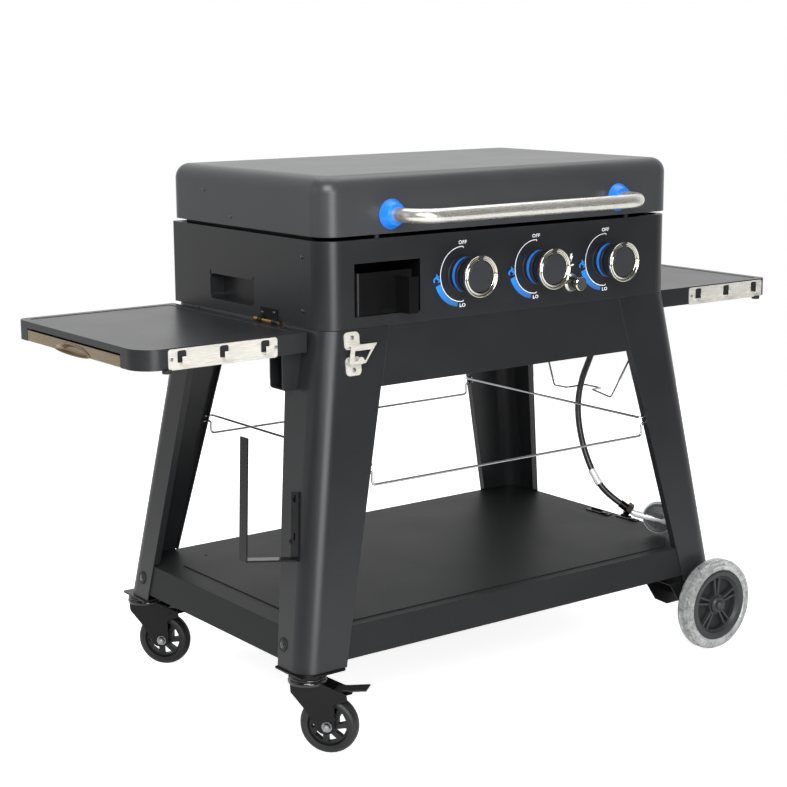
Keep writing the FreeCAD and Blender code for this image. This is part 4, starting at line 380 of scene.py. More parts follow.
    # The heat band's screen ink: bright blue at nine o'clock, laid thin towards six o'clock.
    INK_BAND = FadingInk("fading_blue_ink", "#0b8af2", "#33485f", 770.0, 716.0, "blue")


COATED: dict[Coat, tuple[str, ...]] = {
    Coat.POWDER: (
        "head_front_panel", "head_wrap", "leg_front_left", "leg_front_right", "leg_rear_left",
        "leg_rear_right", "apron_front", "cart_rails", "side_shelf_left", "side_shelf_right",
        "shelf_brackets",
    ),
    Coat.LIT_LID_COAT: ("lid_shell",),
    Coat.SHADED_SHELF_COAT: ("bottom_shelf",),
    Coat.DIP_COAT: (
        "caster_fork_front", "caster_fork_rear", "towel_post", "lock_brackets",
        "lid_hinge_leaves", "body_hinge_leaves", "axle_brackets", "grease_cup", "cup_housing",
        "caster_plates",
    ),
    Coat.SEASONED: ("griddle_plate",),
    Coat.SATIN_TUBE: ("lid_handle",),
    Coat.BRUSHED_X: ("hook_strip_left", "hook_strip_right", "bottle_opener"),
    Coat.BRUSHED_Y: ("pull_board",),
    Coat.CHROME: ("igniter_body", "igniter_button"),
    Coat.BLUE: ("lid_handle_bezels", "knob_bezels"),
    Coat.ABS: ("brake_pedal_front", "brake_pedal_rear"),
    Coat.NYLON: ("wheel_hub_front", "wheel_hub_rear", "wheel_axles"),
    Coat.TYRE: ("wheel_tyre_front", "wheel_tyre_rear"),
    Coat.CASTER: ("caster_wheel_front", "caster_wheel_rear"),
    Coat.BRASS: ("stem_1", "stem_2", "stem_3", "lock_pin_left", "lock_pin_right"),
    Coat.BRONZE: ("inlet_fitting", "regulator_nut"),
    Coat.GALVANISED: ("head_floor", "burners", "gas_manifold"),
    Coat.CAST: ("valves",),
    Coat.DIE_CAST: ("regulator",),
    Coat.WIRE: ("wire_rails", "tank_hanger"),
}


def finished(name: str, shape: Form, sharp: float = 32.0) -> Mesh:
    """Turns a bmesh into a smooth-shaded mesh with sharp creases.

    Args:
        name: The mesh's name.
        shape: The bmesh, freed here.
        sharp: Angle in degrees past which an edge stays sharp.

    Returns:
        The mesh.
    """
    bmesh.ops.recalc_face_normals(shape, faces=shape.faces)
    mesh = bpy.data.meshes.new(name)
    shape.to_mesh(mesh)
    shape.free()
    mesh.shade_smooth()
    mesh.set_sharp_from_angle(angle=math.radians(sharp))
    return mesh


def turned(profile: Profile, place: Matrix, steps: int, shape: Form | None = None) -> Form:
    """Makes a turned form, by itself or in a form that is there already.

    Args:
        profile: Radius and height pairs in millimetres, from one end of the axis to the other.
        place: Where the axis' foot stands; its Z is the axis.
        steps: Segments round the axis.
        shape: The form to add to.

    Returns:
        The form.
    """
    if shape is None:
        shape = bmesh.new()
    rings = []
    for radius, height in profile:
        if radius < 1e-6:
            rings.append([shape.verts.new(place @ Vector((0, 0, height * MM)))])
            continue
        ring = []
        for i in range(steps):
            angle = 2 * math.pi * i / steps
            across, up = radius * MM * math.cos(angle), radius * MM * math.sin(angle)
            ring.append(shape.verts.new(place @ Vector((across, up, height * MM))))
        rings.append(ring)
    for low, high in zip(rings, rings[1:]):
        for i in range(steps):
            j = i + 1
            quad = [low[i % len(low)], low[j % len(low)], high[j % len(high)], high[i % len(high)]]
            corners = list(dict.fromkeys(quad))
            if len(corners) > 2:
                shape.faces.new(corners)
    return shape


def bridged(rows: Sequence[Sequence[Point]]) -> Form:
    """Skins a row of equal closed loops and caps both its ends.

    Args:
        rows: The loops' corners in millimetres, the same count in each.

    Returns:
        The form.
    """
    shape = bmesh.new()
    loops = [[shape.verts.new(Vector(spot) * MM) for spot in row] for row in rows]
    count = len(loops[0])
    for a, b in zip(loops, loops[1:]):
        for i in range(count):
            shape.faces.new((a[i], a[(i + 1) % count], b[(i + 1) % count], b[i]))
    shape.faces.new(loops[0])
    shape.faces.new(list(reversed(loops[-1])))
    return shape


def axis_place(point: Point, direction: Point) -> Matrix:
    """Gives the matrix that stands Z along a direction at a point.

    Args:
        point: Millimetres in the frame.
        direction: The axis' direction.

    Returns:
        The placing matrix, in metres.
    """
    turn = Vector(direction).normalized().to_track_quat("Z", "Y").to_matrix().to_4x4()
    return Matrix.Translation(Vector(point) * MM) @ turn


def printed_stroke(
    path: Profile, widths: Sequence[float], thick: float = INK_MM, face_y: float = PANEL_Y
) -> Form:
    """Lays a line of ink on a plane that faces the front.

    Args:
        path: X and Z of the line's middle, in millimetres.
        widths: The line's width at each point.
        thick: How far the ink stands proud.
        face_y: The plane's Y.

    Returns:
        The ink as a thin closed form.
    """
    rows = []
    for i, ((x, z), width) in enumerate(zip(path, widths)):
        before, after = path[max(i - 1, 0)], path[min(i + 1, len(path) - 1)]
        run = Vector((after[0] - before[0], after[1] - before[1])).normalized()
        side = Vector((-run.y, run.x)) * width / 2
        corners = ((-1, 0.0), (-1, thick), (1, thick), (1, 0.0))
        rows.append([(x + side.x * s, face_y - y, z + side.y * s) for s, y in corners])
    return bridged(rows)


def drawn_mesh(curve: Curve) -> Mesh:
    """Reads the mesh that Blender draws for a curve or a text.

    Args:
        curve: The curve or text.

    Returns:
        Its mesh.
    """
    plain = bpy.data.objects.new("drawn", curve)
    bpy.context.scene.collection.objects.link(plain)
    bpy.context.view_layer.update()
    graph = bpy.context.evaluated_depsgraph_get()
    mesh = bpy.data.meshes.new_from_object(plain.evaluated_get(graph))
    bpy.data.objects.remove(plain)
    return mesh


@dataclass
class Workshop:
    """Holds the frame's nodes, dresses them and adds new pieces to the frame's bodies."""

    nodes: dict[str, Object]

    def dress_node(self, name: str, kind: Coat) -> None:
        """Gives a frame node its finish.

        Args:
            name: The node.
            kind: The finish.
        """
        node = self.nodes[name]
        if not node.material_slots:
            node.data.materials.append(None)
        for slot in node.material_slots:
            slot.material = kind.value.material()
        LOG.info("%s in %s", name, kind.value.name)

    def add(
        self,
        name: str,
        shape: Form | Mesh | Curve,
        kind: Coat,
        body: str = "station",
        sharp: float = 32.0,
    ) -> Object:
        """Puts a piece in the scene on its body.

        Args:
            name: The piece's name.
            shape: Its form, mesh or curve, in metres in the frame.
            kind: Its finish.
            body: The body that it moves with.
            sharp: Angle in degrees past which a form's edge stays sharp.

        Returns:
            The new object.
        """
        data = finished(name, shape, sharp) if isinstance(shape, Form) else shape
        data.materials.append(kind.value.material())
        piece = bpy.data.objects.new(name, data)
        bpy.context.scene.collection.objects.link(piece)
        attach(piece, body)
        LOG.info("%s on %s", name, body)
        return piece


@dataclass
class StudioCamera:
    """The camera that stands where the photograph was taken from."""

    place_mm: Point = (-2048.1, -2659.5, 1172.6)
    heading: float = 36.58168
    pitch: float = -11.02681
    roll: float = -0.33331
    focal_px: float = 1775.57
    frame_px: float = 787.0
    sensor_mm: float = 36.0
    sees_m: float = 50.0

    def build(self) -> None:
        """Makes the camera and gives it to the scene."""
        turn, tilt, roll = (math.radians(v) for v in (self.heading, self.pitch, self.roll))
        level = math.cos(tilt)
        forward = Vector((math.sin(turn) * level, math.cos(turn) * level, math.sin(tilt)))
        right = Vector((math.cos(turn), -math.sin(turn), 0.0))
        up = right.cross(forward)
        side = right * math.cos(roll) + up * math.sin(roll)
        top = up * math.cos(roll) - right * math.sin(roll)
        data = bpy.data.cameras.new("studio_camera")
        data.sensor_width = self.sensor_mm
        data.lens = self.focal_px / self.frame_px * self.sensor_mm
        data.clip_end = self.sees_m
        camera = bpy.data.objects.new("studio_camera", data)
        axes = Matrix((side, top, -forward)).transposed().to_4x4()
        camera.matrix_world = Matrix.Translation(Vector(self.place_mm) * MM) @ axes
        bpy.context.scene.collection.objects.link(camera)
        bpy.context.scene.camera = camera


@dataclass(frozen=True)
class SoftLamp:
    """One soft square lamp: where it hangs, the point that it faces, its side and its power."""

    name: str
    place: Point
    target: Point
    side_m: float
    watts: float

    def build(self) -> None:
        """Makes the lamp."""
        data = bpy.data.lights.new(self.name, "AREA")
        data.shape = "SQUARE"
        data.size = self.side_m
        data.energy = self.watts
        lamp = bpy.data.objects.new(self.name, data)
        lamp.location = self.place
        aim = Vector(self.target) - Vector(self.place)
        lamp.rotation_euler = aim.to_track_quat("-Z", "Y").to_euler()
        bpy.context.scene.collection.objects.link(lamp)


@dataclass
class Studio:
    """Round white floor, a white backdrop behind, a dim room in front, and soft lamps."""

    floor_radius: float = 3.0
    floor_colour: str = "#f2f2f2"
    floor_glow: float = 0.8
    floor_speck_mm: float = 10 / 3
    floor_rough: Pair = (0.85, 1.0)
    world_level: float = 0.5
    room_level: float = 0.1
    backdrop_level: float = 1.0
    backdrop_way: Point = (0.6, 0.8, 0.0)
    backdrop_begins: float = -0.3
    lamps: tuple[SoftLamp, ...] = (
        SoftLamp("key_lamp", (-2.3, -2.7, 2.8), (0.0, 0.0, 0.6), 2.2, 130.0),
        SoftLamp("top_lamp", (0.4, 0.6, 3.6), (0.0, 0.0, 0.7), 3.2, 60.0),
        SoftLamp("fill_lamp", (-1.2, -3.4, 0.9), (0.0, 0.0, 0.5), 1.6, 45.0),
        SoftLamp("side_lamp", (-3.6, 1.2, 1.8), (0.0, 0.0, 0.6), 2.4, 12.0),
    )

    def build(self) -> None:
        """Makes the floor, the world and the lamps."""
        bpy.context.scene.view_settings.view_transform = "Standard"
        self.floor()
        self.world()
        for lamp in self.lamps:
            lamp.build()

    def seen(self, tree: NodeTree) -> NodeSocket:
        """Tells the rays that see the backdrop from those that light the object.

        Args:
            tree: The node tree to add to.

        Returns:
            A socket that is one for camera and glass rays.
        """
        rays = add_node(tree, "LightPath").outputs
        both = {0: rays["Is Camera Ray"], 1: rays["Is Transmission Ray"]}
        return add_node(tree, "Math", both, operation="MAXIMUM").outputs[0]

    def floor(self) -> None:
        """Makes the pale floor, which stays white to the eye and keeps the shadow."""
        shape = bmesh.new()
        bmesh.ops.create_circle(shape, cap_ends=True, segments=96, radius=self.floor_radius)
        mesh = finished("studio_floor", shape)
        material = bare_material("pale_studio_floor")
        tree = material.node_tree
        place = add_node(tree, "TexCoord").outputs["Object"]
        fine = {"Vector": place, "Scale": 1 / (self.floor_speck_mm * MM), "Detail": 2.0}
        speck = add_node(tree, "TexNoise", fine)
        low, high = self.floor_rough
        dull = {"Value": speck.outputs["Fac"], "To Min": low, "To Max": high}
        rough = add_node(tree, "MapRange", dull)
        shine = {"Value": self.seen(tree), "To Max": self.floor_glow}
        glow = add_node(tree, "MapRange", shine)
        paper = {
            "Base Color": linear(self.floor_colour),
            "Roughness": rough.outputs[0],
            "Specular IOR Level": 0.0,
            "Emission Color": WHITE,
            "Emission Strength": glow.outputs[0],
        }
        shade(tree, paper)
        mesh.materials.append(material)
        floor = bpy.data.objects.new("studio_floor", mesh)
        bpy.context.scene.collection.objects.link(floor)

    def world(self) -> None:
        """Makes the surroundings: white to the eye, and to a gloss dim in front, bright behind."""
        world = bpy.data.worlds.new("studio_world")
        bpy.context.scene.world = world
        world.use_nodes = True
        tree = world.node_tree
        tree.nodes.clear()
        way = add_node(tree, "TexCoord").outputs["Generated"]
        facing = {0: way, 1: self.backdrop_way}
        behind = add_node(tree, "VectorMath", facing, operation="DOT_PRODUCT")
        spread = {
            "Value": behind.outputs["Value"],
            "From Min": self.backdrop_begins,
            "From Max": 1.0,
            "To Min": self.room_level,
            "To Max": self.backdrop_level,
        }
        room = add_node(tree, "MapRange", spread, interpolation_type="SMOOTHSTEP")
        rays = add_node(tree, "LightPath").outputs
        shone = {0: rays["Is Glossy Ray"], 2: self.world_level, 3: room.outputs[0]}
        lit = add_node(tree, "Mix", shone, data_type="FLOAT")
        shown = {0: self.seen(tree), 2: lit.outputs[0], 3: 1.0}
        level = add_node(tree, "Mix", shown, data_type="FLOAT")
        sky = {"Color": WHITE, "Strength": level.outputs[0]}
        air = add_node(tree, "Background", sky)
        add_node(tree, "OutputWorld", {"Surface": air.outputs[0]})


@dataclass
class Regulator:
    """The low-pressure regulator: a shallow dish in a rolled rim, and the pipe across its face."""

    radius: float = 33.0
    height: float = 245.5
    outlet_mm: Point = (446.0, -238.0, 236.0)
    nut_mm: float = 10.0
    along_pipe: float = 0.6

    def build(self, shop: Workshop, inlet: Vector, run: Vector) -> list[Object]:
        """Makes the regulator where the hose ends.

        Args:
            shop: The workshop.
            inlet: The end of the hose's ferrule, in millimetres.
            run: The direction in which the hose comes in.

        Returns:
            Its three pieces.
        """
        near, far = inlet + run * self.nut_mm, Vector(self.outlet_mm)
        middle = near.lerp(far, self.along_pipe)
        middle.z = self.height
        flat = (far - near).to_2d().normalized()
        stand = axis_place(middle, (-flat.y, flat.x, 0.0))
        r = self.radius
        side = [(0, 5.2), (9, 5.2), (10.5, 4.0)]
        side += [(r - 9, 3.2), (r - 7, 5.6), (r - 3.2, 5.6), (r - 3.0, 3.0)]
        plate = turned([*side, *((a, -b) for a, b in reversed(side))], stand, 72)
        dish = shop.add("regulator_dish", plate, Coat.DIE_CAST)
        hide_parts("regulator")
        angles = [math.pi * i / 8 for i in range(17)]
        roll = [(r - 3.0 + 3.0 * math.cos(a), 5.0 * math.sin(a)) for a in angles]
        rim = shop.add("regulator_rim", turned(roll, stand, 96), Coat.ALUMINIUM, sharp=60)
        end = (far - near).length
        tube = [(0, 0), (6.4, 0), (7.0, 0.8), (7.0, end * 0.3), (6.2, end * 0.34)]
        tube += [(6.2, end * 0.7), (7.0, end * 0.74), (7.0, end - 1), (6.0, end)]
        tube += [(3.6, end), (3.6, end - 12), (0, end - 12)]
        cross = turned(tube, axis_place(near, far - near), 40)
        turned([(0, 0), (6, 0), (6, 12), (0, 12)], axis_place(inlet, run), 32, cross)
        return [dish, rim, shop.add("regulator_pipe", cross, Coat.ALUMINIUM)]


@dataclass
class GasHose:
    """The low-pressure hose with its crimped band, down to the regulator."""

    diameter_mm: float = 12.5
    length_mm: float = 435.2
    crimp_z: float = 321.0
    crimp_mm: float = 33.0
    crimp_wall: float = 0.7
    crimp_ribs: int = 7
    ferrule_mm: float = 26.0
    route_mm: tuple[Point, ...] = (
        (350.0, -114.0, 660.0), (350.5, -109.0, 612.0), (351.5, -86.0, 562.0),
        (350.0, -63.0, 514.0), (348.5, -54.0, 462.0), (349.0, -61.0, 410.0),
        (350.0, -79.0, 363.0), (352.0, -104.0, 322.0), (360.0, -130.0, 291.0),
        (382.0, -149.0, 270.0),
    )

    def build(self, shop: Workshop) -> None:
        """Args:
            shop: The workshop.
        """
        curve = bpy.data.curves.new("gas_hose_tube", "CURVE")
        curve.dimensions = "3D"
        curve.bevel_depth = self.diameter_mm / 2 * MM
        curve.bevel_resolution = 8
        curve.resolution_u = 12
        curve.use_fill_caps = True
        spline = curve.splines.new("NURBS")
        spline.points.add(len(self.route_mm) - 1)
        for point, spot in zip(spline.points, self.route_mm):
            point.co = (*(v * MM for v in spot), 1.0)
        spline.order_u = 3
        spline.use_endpoint_u = True
        hose = shop.add("gas_hose_tube", curve, Coat.RUBBER)
        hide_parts("gas_hose")
        band = self.crimp(curve)
        crimp = shop.add("hose_crimp_band", band, Coat.ALUMINIUM, sharp=25)
        run = (Vector(self.route_mm[-1]) - Vector(self.route_mm[-2])).normalized()
        inlet = Vector(self.route_mm[-1]) + run * self.ferrule_mm
        regulator = Regulator().build(shop, inlet, run)

    def crimp(self, curve: Curve) -> Form:
        """Makes the bright crimped band that grips the hose near its lower end.

        Args:
            curve: The hose's curve.

        Returns:
            The band.
        """
        line = curve.copy()
        line.bevel_depth = 0.0
        line.use_fill_caps = False
        points = [v.co.copy() for v in drawn_mesh(line).vertices]
        inside = range(1, len(points) - 1)
        at = min(inside, key=lambda i: abs(points[i].z - self.crimp_z * MM))
        run = (points[at + 1] - points[at - 1]).normalized()
        r, half, ribs = self.diameter_mm / 2 + self.crimp_wall, self.crimp_mm / 2, self.crimp_ribs
        steps = range(2 * ribs + 1)
        wave = [(r + (0.35 if i % 2 else 0.8), -half + i * half / ribs) for i in steps]
        profile = [(r - 0.6, -half - 0.4), *wave, (r - 0.6, half + 0.4)]
        return turned(profile, axis_place([v / MM for v in points[at]], run), 40)


@dataclass
class Dial:
    """One control dial: its seat's sleeves, its knob and the marks printed round it."""

    shop: Workshop
    number: int
    x: float
    front_y: float = -304.0
    radius: float = 37.0
    neck: float = 29.0
    length: float = 26.8
    bore: float = 4.06
    bore_end: float = 12.0
    seat: float = 30.0
    seat_height: float = 11.0
    sleeve: Pair = (17.6, 23.8)
    ring_width: float = 8.5
    ring_depth: float = 5.0
    ring_steps: int = 120
    notch: float = 11.0
    arc_radius: float = 48.5
    arc_width: float = 1.35
    word_up: float = 55.5
    letter_mm: float = 8.6
    band_from: float = 197.0
    band_turn: float = 62.0
    band_widths: Pair = (12.2, 8.2)
    band_steps: int = 32
    flame_at: Pair = (-57.0, -4.0)
    left_flame: Profile = (
        (-0.9, 8.0), (1.0, 5.4), (0.2, 2.6), (-3.4, 0.2), (-5.6, -2.4), (-5.7, -5.0), (-4.0, -7.2),
    )
    right_flame: Profile = (
        (6.0, 3.6), (2.8, 2.2), (0.4, 0.4), (1.6, -1.6), (5.0, -1.4), (6.2, -3.4), (5.2, -6.0),
        (3.4, -7.2),
    )

    def build(self) -> None:
        """Makes the dial from the panel outwards, then prints its marks."""
        stand = axis_place((self.x, PANEL_Y, DIAL_Z), (0, -1, 0))
        r, h = self.seat, self.seat_height
        profile = [(r + 0.05, 0.0), (r + 2.2, 0.0), (r + 2.0, 1.0), (r + 0.7, 1.6)]
        profile += [(r + 0.6, h - 0.3), (r + 0.05, h - 0.1)]
        self.put("dial_seat", turned(profile, stand, 96), Coat.ABS)
        low, high = self.sleeve
        profile = [(r + 1.0, low), (r + 1.4, low + 0.2), (r + 1.0, high - 0.5), (r + 0.5, high)]
        profile += [(r - 12, high), (r - 12, high - 0.3)]
        self.put("dial_sleeve", turned(profile, stand, 96), Coat.ABS)
        self.knob()
        self.marks()

    def put(self, name: str, shape: Form | Mesh, *rest: Coat | str | float) -> None:
        """Adds one piece with the dial's number in its name; the rest goes to Workshop.add."""
        self.shop.add(f"{name}_{self.number}", shape, *rest)

    def knob(self) -> None:
        """Makes the knob: moulded body, printed face, pointer and chrome ring."""
        body = f"knob_{self.number}"
        stand = axis_place((self.x, self.front_y, DIAL_Z), (0, 1, 0))
        r, inner, d = self.radius, self.radius - self.ring_width, self.ring_depth
        neck, end, bore = self.neck, self.length, self.bore
        profile = [(0, 6.0), (inner - 1.0, 6.0), (inner, d), (r - 1.5, d), (r - 2.2, d + 1.5)]
        profile += [(r - 2.4, d + 5), (r - 4.0, d + 8), (neck + 1.2, d + 12), (neck, d + 15)]
        profile += [(neck, end - 0.8), (neck - 0.8, end), (5.0, end), (bore, end - 1)]
        profile += [(bore, self.bore_end), (0, self.bore_end)]
        moulded = turned(profile, stand, 96)
        knob = self.shop.add(f"knob_body_{self.number}", moulded, Coat.ABS, body)
        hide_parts(body)
        profile = [(0, 1.5), (inner - 2.6, 1.5), (inner - 1.7, 2.2), (inner - 1.3, 6.2), (0, 6.2)]
        self.put("knob_face", turned(profile, stand, 96), Coat.FACE, body)
        w = self.notch / 2 - 0.7
        heights = (inner - 4.0, inner - 2.4, inner - 0.6, inner + 1.6, r - 0.8)
        path = [(self.x, DIAL_Z + z) for z in heights]
        widths = [4.0 * w, 3.0 * w, 2.2 * w, 1.7 * w, 1.6 * w]
        tongue = printed_stroke(path, widths, 3.9, self.front_y + 5.6)
        self.put("knob_tongue", tongue, Coat.FACE, body)
        self.put("knob_ring", self.ring(), Coat.CHROME, body, 50)

    def ring(self) -> Form:
        """Makes the chrome ring: a rounded lip outside, a dished band inside, a gap at the top.

        Returns:
            The ring.
        """
        r, inner, d = self.radius, self.radius - self.ring_width, self.ring_depth
        section = [(inner, d), (inner, 2.4), (inner + 0.4, 1.8), (inner + 1.0, 1.6)]
        section += [(inner + 1.6, 2.0), (r - 5.8, 2.9), (r - 4.6, 2.9), (r - 3.9, 2.3)]
        section += [(r - 3.5, 3.1), (r - 3.1, 3.1), (r - 2.7, 1.2), (r - 2.2, 0.4), (r - 1.5, 0.0)]
        section += [(r - 0.7, 0.35), (r - 0.1, 1.4), (r, d - 1.2), (r - 0.6, d)]
        gap = self.notch / 2 / (r - self.ring_width / 2)
        rows = []
        for i in range(self.ring_steps + 1):
            angle = math.pi / 2 + gap + (2 * math.pi - 2 * gap) * i / self.ring_steps
            run, rise = math.cos(angle), math.sin(angle)
            row = [(self.x + a * run, self.front_y + y, DIAL_Z + a * rise) for a, y in section]
            rows.append(row)
        return bridged(rows)

    def on_circle(self, radius: float, angle: float) -> Pair:
        """Gives a point on a circle round the dial, by its angle in degrees from three o'clock."""
        turn = math.radians(angle)
        return self.x + radius * math.cos(turn), DIAL_Z + radius * math.sin(turn)

    def marks(self) -> None:
        """Prints the two words, the arc with its hooked ends, the heat band and the flame."""
        x = self.x
        for word, up in (("OFF", self.word_up), ("LO", -self.word_up)):
            spot = (x + 0.5, PANEL_Y, DIAL_Z + up)
            self.put(f"mark_{word.lower()}", self.word(word, spot), Coat.INK_WHITE)
        arc = [self.on_circle(self.arc_radius, 90 + 3 * i) for i in range(61)]
        top, foot = arc[0][1], arc[-1][1]
        arc = [(x + 2.4, top - 3.0), (x + 1.6, top - 0.4), *arc]
        arc += [(x + 1.6, foot + 0.4), (x + 3.0, foot + 2.4)]
        line = printed_stroke(arc, [self.arc_width] * len(arc))
        self.put("mark_arc", line, Coat.INK_WHITE)
        shares = [i / self.band_steps for i in range(self.band_steps + 1)]
        wide, narrow = self.band_widths
        widths = [wide - (wide - narrow) * share for share in shares]
        path = [
            self.on_circle(self.arc_radius + 1.2 + w / 2, self.band_from + self.band_turn * share)
            for share, w in zip(shares, widths)
        ]
        self.put("mark_band", printed_stroke(path, widths, 0.06), Coat.INK_BAND)
        right, up = self.flame_at
        for side, stroke in enumerate((self.left_flame, self.right_flame), 1):
            path = [(x + right + u, DIAL_Z + up + v) for u, v in stroke]
            widths = [0.7, *[2.9] * (len(path) - 2), 1.6]
            name, ink = f"mark_flame_{self.number}_{side}", printed_stroke(path, widths, 0.07)
            self.shop.add(name, ink, Coat.INK_BLUE)

    def word(self, text: str, spot: Point) -> Mesh:
        """Sets one short word flat on the panel.

        Args:
            text: The word.
            spot: The word's centre, in millimetres.

        Returns:
            The word's mesh.
        """
        curve = bpy.data.curves.new(f"word_{text}", "FONT")
        curve.body = text
        curve.size = self.letter_mm * MM
        curve.space_character = 1.1
        curve.offset = 0.16 * MM
        curve.align_x = "CENTER"
        curve.align_y = "CENTER"
        curve.extrude = 0.06 * MM
        wide = Matrix.Diagonal((1.15, 1.0, 1.0, 1.0))
        turn = Matrix.Rotation(math.pi / 2, 4, "X")
        mesh = drawn_mesh(curve)
        mesh.transform(Matrix.Translation(Vector(spot) * MM) @ turn @ wide)
        return mesh


@dataclass
class IgniterSigns:
    """The igniter's black sleeve, and the spark and small wavy line printed over it."""

    x: float = 148.0
    z: float = 746.7
    spark_z: float = 791.6
    wave_z: float = 777.6
    spark: Profile = (
        (-1.2, 8.4), (2.6, 8.4), (1.2, 3.4), (4.4, 3.4), (-2.4, -8.6), (-0.6, -1.0), (-3.8, -1.0),
    )
    wave: Profile = (
        (-6.4, -2.2), (-4.6, -0.6), (-2.6, 0.6), (-0.4, 0.0), (1.6, 1.0), (3.4, 1.8), (6.4, 1.4),
    )
    wave_widths: tuple[float, ...] = (1.6, 2.8, 2.9, 2.6, 2.9, 2.8, 1.8)

    def build(self, shop: Workshop) -> None:
        """Makes the sleeve and the two signs.

        Args:
            shop: The workshop.
        """
        profile = [(10.05, 6.2), (10.3, 6.2), (10.3, 18.0), (10.05, 18.3)]
        sleeve = turned(profile, axis_place((self.x, PANEL_Y, self.z), (0, -1, 0)), 48)
        shop.add("igniter_sleeve", sleeve, Coat.ABS)
        path = [(self.x + u, self.spark_z + v) for u, v in self.spark]
        patch = bridged([[(x, y, z) for x, z in path] for y in (PANEL_Y - INK_MM, PANEL_Y)])
        shop.add("mark_spark", patch, Coat.INK_WHITE)
        path = [(self.x + u, self.wave_z + v) for u, v in self.wave]
        shop.add("mark_wave", printed_stroke(path, self.wave_widths), Coat.INK_WHITE)


def screw(spot: Point, out: Point, size: float) -> Form:
    """Makes a pan-head screw with a small cross in its middle.

    Args:
        spot: Where its head sits, in millimetres.
        out: The direction that the head faces.
        size: The head's diameter.

    Returns:
        The screw's head.
    """
    r = size / 2
    stand = axis_place(spot, out)
    profile = [(0, -0.4), (r * 0.9, -0.4), (r, 0), (r, 0.45)]
    profile += [(r * 0.86, 1.1), (r * 0.5, 1.55), (r * 0.2, 1.6), (0, 1.1)]
    shape = turned(profile, stand, 24)
    for turn in (0.0, math.pi / 2):
        slot = stand @ Matrix.Rotation(turn, 4, "Z") @ Matrix.Translation((0, 0, 1.35 * MM))
        bar = Matrix.Diagonal((r * 0.95 * MM, r * 0.22 * MM, 0.4 * MM, 1))
        bmesh.ops.create_cube(shape, size=1.0, matrix=slot @ bar)
    return shape


def lock_nut(spot: Point, out: Point, across: float) -> Form:
    """Makes a lock nut on its wide washer, with the bolt's end in it.

    Args:
        spot: Where its washer lies, in millimetres.
        out: The direction that it faces.
        across: Its size across the flats.

    Returns:
        The nut, washer and bolt end.
    """
    stand = axis_place(spot, out)
    w, c = across * 0.7, across / math.sqrt(3)
    washer = [(w * 0.5, 0), (w, 0), (w, 1.2), (w - 0.4, 1.6), (w * 0.5, 1.6)]
    hexagon = [(c * 0.6, 1.6), (c, 1.6), (c, 6.6), (c * 0.9, 7.4), (c * 0.55, 7.4)]
    shape = turned(hexagon, stand, 6, turned(washer, stand, 40))
    turned([(c * 0.62, 7.2), (c * 0.7, 8.2), (c * 0.5, 8.8), (4.2, 8.2)], stand, 32, shape)
    return turned([(4.1, 6.0), (4.1, 8.9), (3.4, 9.5), (0, 9.5)], stand, 24, shape)


def pad(spot: Point, out: Point, radius: float, height: float) -> Form:
    """Makes a round rubber pad with a softened upper edge.

    Args:
        spot: The pad's foot, in millimetres.
        out: The direction that it stands up in.
        radius: Its radius.
        height: Its height.

    Returns:
        The pad.
    """
    r, h = radius, height
    profile = [(0, 0), (r, 0), (r, h - 1.2), (r - 0.4, h - 0.4), (r - 1.3, h), (0, h)]
    return turned(profile, axis_place(spot, out), 32)


def clip(spot: Point, length: float) -> Form:
    """Makes a black pressed clip for the bottom shelf's right border.

    Args:
        spot: The middle of its foot, in millimetres.
        length: Its length along Y.

    Returns:
        Its base, rib and catch, with soft edges.
    """
    x, y, z = spot
    shape = bmesh.new()
    parts = (
        ((x, y, z + 1.1), (15.0, length, 2.0)),
        ((x + 5.0, y + length * 0.16, z + 3.6), (4.0, length * 0.5, 3.6)),
        ((x - 2.0, y - length * 0.28, z + 2.8), (8.0, length * 0.22, 2.0)),
    )
    for middle, size in parts:
        block = Matrix.Diagonal((*(v * MM for v in size), 1.0))
        place = Matrix.Translation(Vector(middle) * MM) @ block
        made = bmesh.ops.create_cube(shape, size=1.0, matrix=place)
        edges = list({edge for vert in made["verts"] for edge in vert.link_edges})
        bmesh.ops.bevel(shape, geom=edges, offset=0.5 * MM, segments=2, affect="EDGES")
    return shape


